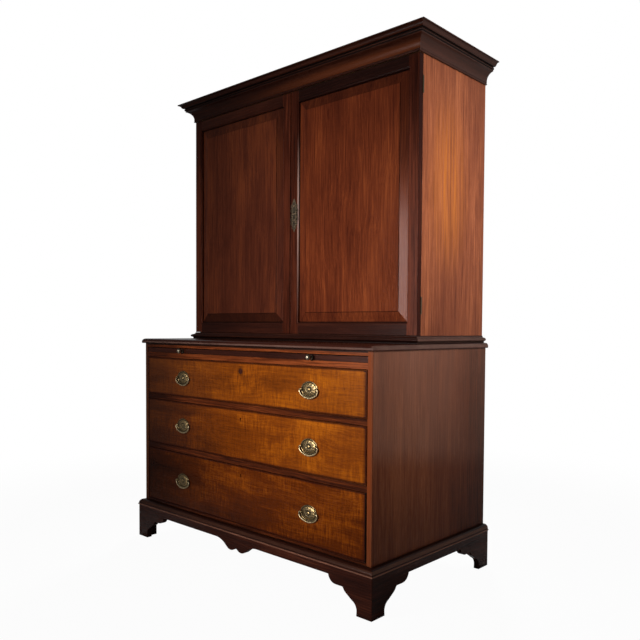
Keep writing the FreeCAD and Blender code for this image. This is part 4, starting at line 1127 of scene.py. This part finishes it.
def dress_cases():
    """Finish of the two cases outside, their mouldings and the plinth."""
    for order, side in enumerate(("left_side", "right_side")):
        dress_wood("cupboard_" + side, "z", cupboard_side_tones, 8.0 + 3.0 * order, streaks=1.6,
                   waver=0.015, shine=0.09, marks=side_marks)
        dress_wood("chest_" + side, "z", chest_side_tones, 5.0 - 2.0 * order, clouds=0.5, shine=0.06,
                   lift=chest_side_lift, marks=chest_side_marks)
    wear = {"cornice_moulding": cove_marks, "waist_moulding": waist_marks, "base_moulding": base_marks}
    for name, mitre in mitres.items():
        dress_wood(name, "x", moulding_tones, 1.0, mitre=mitre, marks=wear[name])
    rails = mahogany("chest_rails", "x", rail_tones, 9.0, streaks=1.8, shine=0.08,
                     lift=chest_rail_lift, marks=chest_rail_marks)
    dress(rails, "front_rails", "chest_bottom")
    dress(mahogany("chest_boards", "x", frame_tones, 9.0), "brushing_slide", "cupboard_bottom")
    dress_wood("chest_top", "x", frame_tones, 9.0, marks=top_marks)
    dress_wood("plinth_front", "x", plinth_tones, 6.0, streaks=1.5)
    dress_wood("plinth_sides", "y", plinth_tones, 7.0, streaks=1.5)
    dress_wood("foot_blocks", "z", moulding_tones, 12.0, gloss=0.6)


def dress_inside():
    """Finish of the boards inside and behind, and of the hinges, locks and bolts."""
    along_x = oak_lining("lining_along_x", "x", 2.0)
    along_y = oak_lining("lining_along_y", "y", 5.0)
    upright = oak_lining("lining_upright", "z", 8.0)
    dress(along_x, "cupboard_top", "shelves", "cornice_frame")
    dress(along_y, "drawer_runners", "shelf_bearers")
    dress(upright, "chest_back", "cupboard_back")
    for drawer in drawer_tones:
        dress(along_y, drawer + "_box")
        dress(along_x, drawer + "_bottom")
    hinges = aged_brass("hinge_brass", 5.0, plate_tones, age=0.95)
    dress(hinges, "hinge_frame_leaves", "left_door_hinge_leaves", "right_door_hinge_leaves")
    fittings = aged_brass("fittings_brass", 4.0, plate_tones, age=0.2)
    dress(fittings, "left_door_bolt_plates", "left_door_top_bolt", "left_door_bottom_bolt")
    for lock in ("door_lock", "middle_drawer_lock", "bottom_drawer_lock"):
        dress(fittings, lock, lock + "_bolt")


def set_camera():
    """Camera at the photograph's place."""
    level = Vector((math.cos(camera_yaw), math.sin(camera_yaw), 0))
    forward = Vector((-math.sin(camera_yaw), math.cos(camera_yaw), 0))
    ahead = forward * math.cos(camera_pitch) + Vector((0, 0, math.sin(camera_pitch)))
    upright = level.cross(ahead)
    right = level * math.cos(camera_roll) + upright * math.sin(camera_roll)
    up = upright * math.cos(camera_roll) - level * math.sin(camera_roll)
    turn = Matrix((right, up, -ahead)).transposed()
    bpy.ops.object.camera_add()
    camera = bpy.context.object
    camera.matrix_world = Matrix.Translation(camera_place) @ turn.to_4x4()
    camera.data.lens = camera_lens
    camera.data.shift_x, camera.data.shift_y = camera_shift
    bpy.context.scene.camera = camera


def seen_ray(finish, share):
    """1 for rays from the camera, a share for gloss and glass, 0 for light that falls on the object."""
    camera = finish.add("ShaderNodeLightPath", output="Is Camera Ray")
    mirror = (camera.other("Is Glossy Ray") + camera.other("Is Transmission Ray")) > 0.5
    return camera + (1 - camera) * mirror * share


def set_floor():
    """Pale floor that fades into the background and keeps the shadow."""
    start_piece()
    bpy.ops.mesh.primitive_plane_add(size=floor_size)
    floor = bpy.context.object
    floor.name = "floor"
    finish = Finish("floor")
    away = finish.add("ShaderNodeVectorMath", {"operation": "LENGTH"}, {0: finish.place()}, output=1)
    glow = finish.add("ShaderNodeEmission", {}, {"Color": white, "Strength": 1.0})
    matt = finish.add("ShaderNodeBsdfDiffuse", {}, {"Color": floor_shade})
    behind = finish.span(finish.axes()[1], *floor_behind)
    faded = floor_white + (1 - floor_white) * finish.span(away, *floor_fade)
    share = seen_ray(finish, behind * mirrored) * faded
    surface = finish.add("ShaderNodeMixShader", {}, {0: share, 1: matt, 2: glow})
    finish.add("ShaderNodeOutputMaterial", {}, {"Surface": surface})
    floor.data.materials.append(finish.material)


def set_sky():
    """White background that lights the object only a little."""
    sky = Sky("studio")
    way = sky.add("ShaderNodeTexCoord", output="Generated")
    behind = sky.span(sky.add("ShaderNodeSeparateXYZ", {}, {0: way}, output=1), *sky_behind)
    strength = sky_light + seen_ray(sky, behind * mirrored) * (1 - sky_light)
    surface = sky.add("ShaderNodeBackground", {}, {"Color": white, "Strength": strength})
    sky.add("ShaderNodeOutputWorld", {}, {"Surface": surface})


def set_lamps():
    """Soft lamps at the front, the right and behind."""
    for name, (place, aim, width, height, spread, power) in lamps.items():
        bpy.ops.object.light_add(type="AREA", location=place)
        lamp = bpy.context.object
        lamp.name = name
        lamp.data.shape = "RECTANGLE"
        lamp.data.size = width
        lamp.data.size_y = height
        lamp.data.spread = math.radians(spread)
        lamp.data.energy = power
        way = Vector(aim) - Vector(place)
        lamp.rotation_euler = way.to_track_quat("-Z", "Y").to_euler()


bpy.context.scene.view_settings.view_transform = "Standard"
dress_fronts()
dress_cases()
dress_inside()
make_pulls()
make_slide_knobs()
make_plug()
make_escutcheon()
set_camera()
set_floor()
set_sky()
set_lamps()
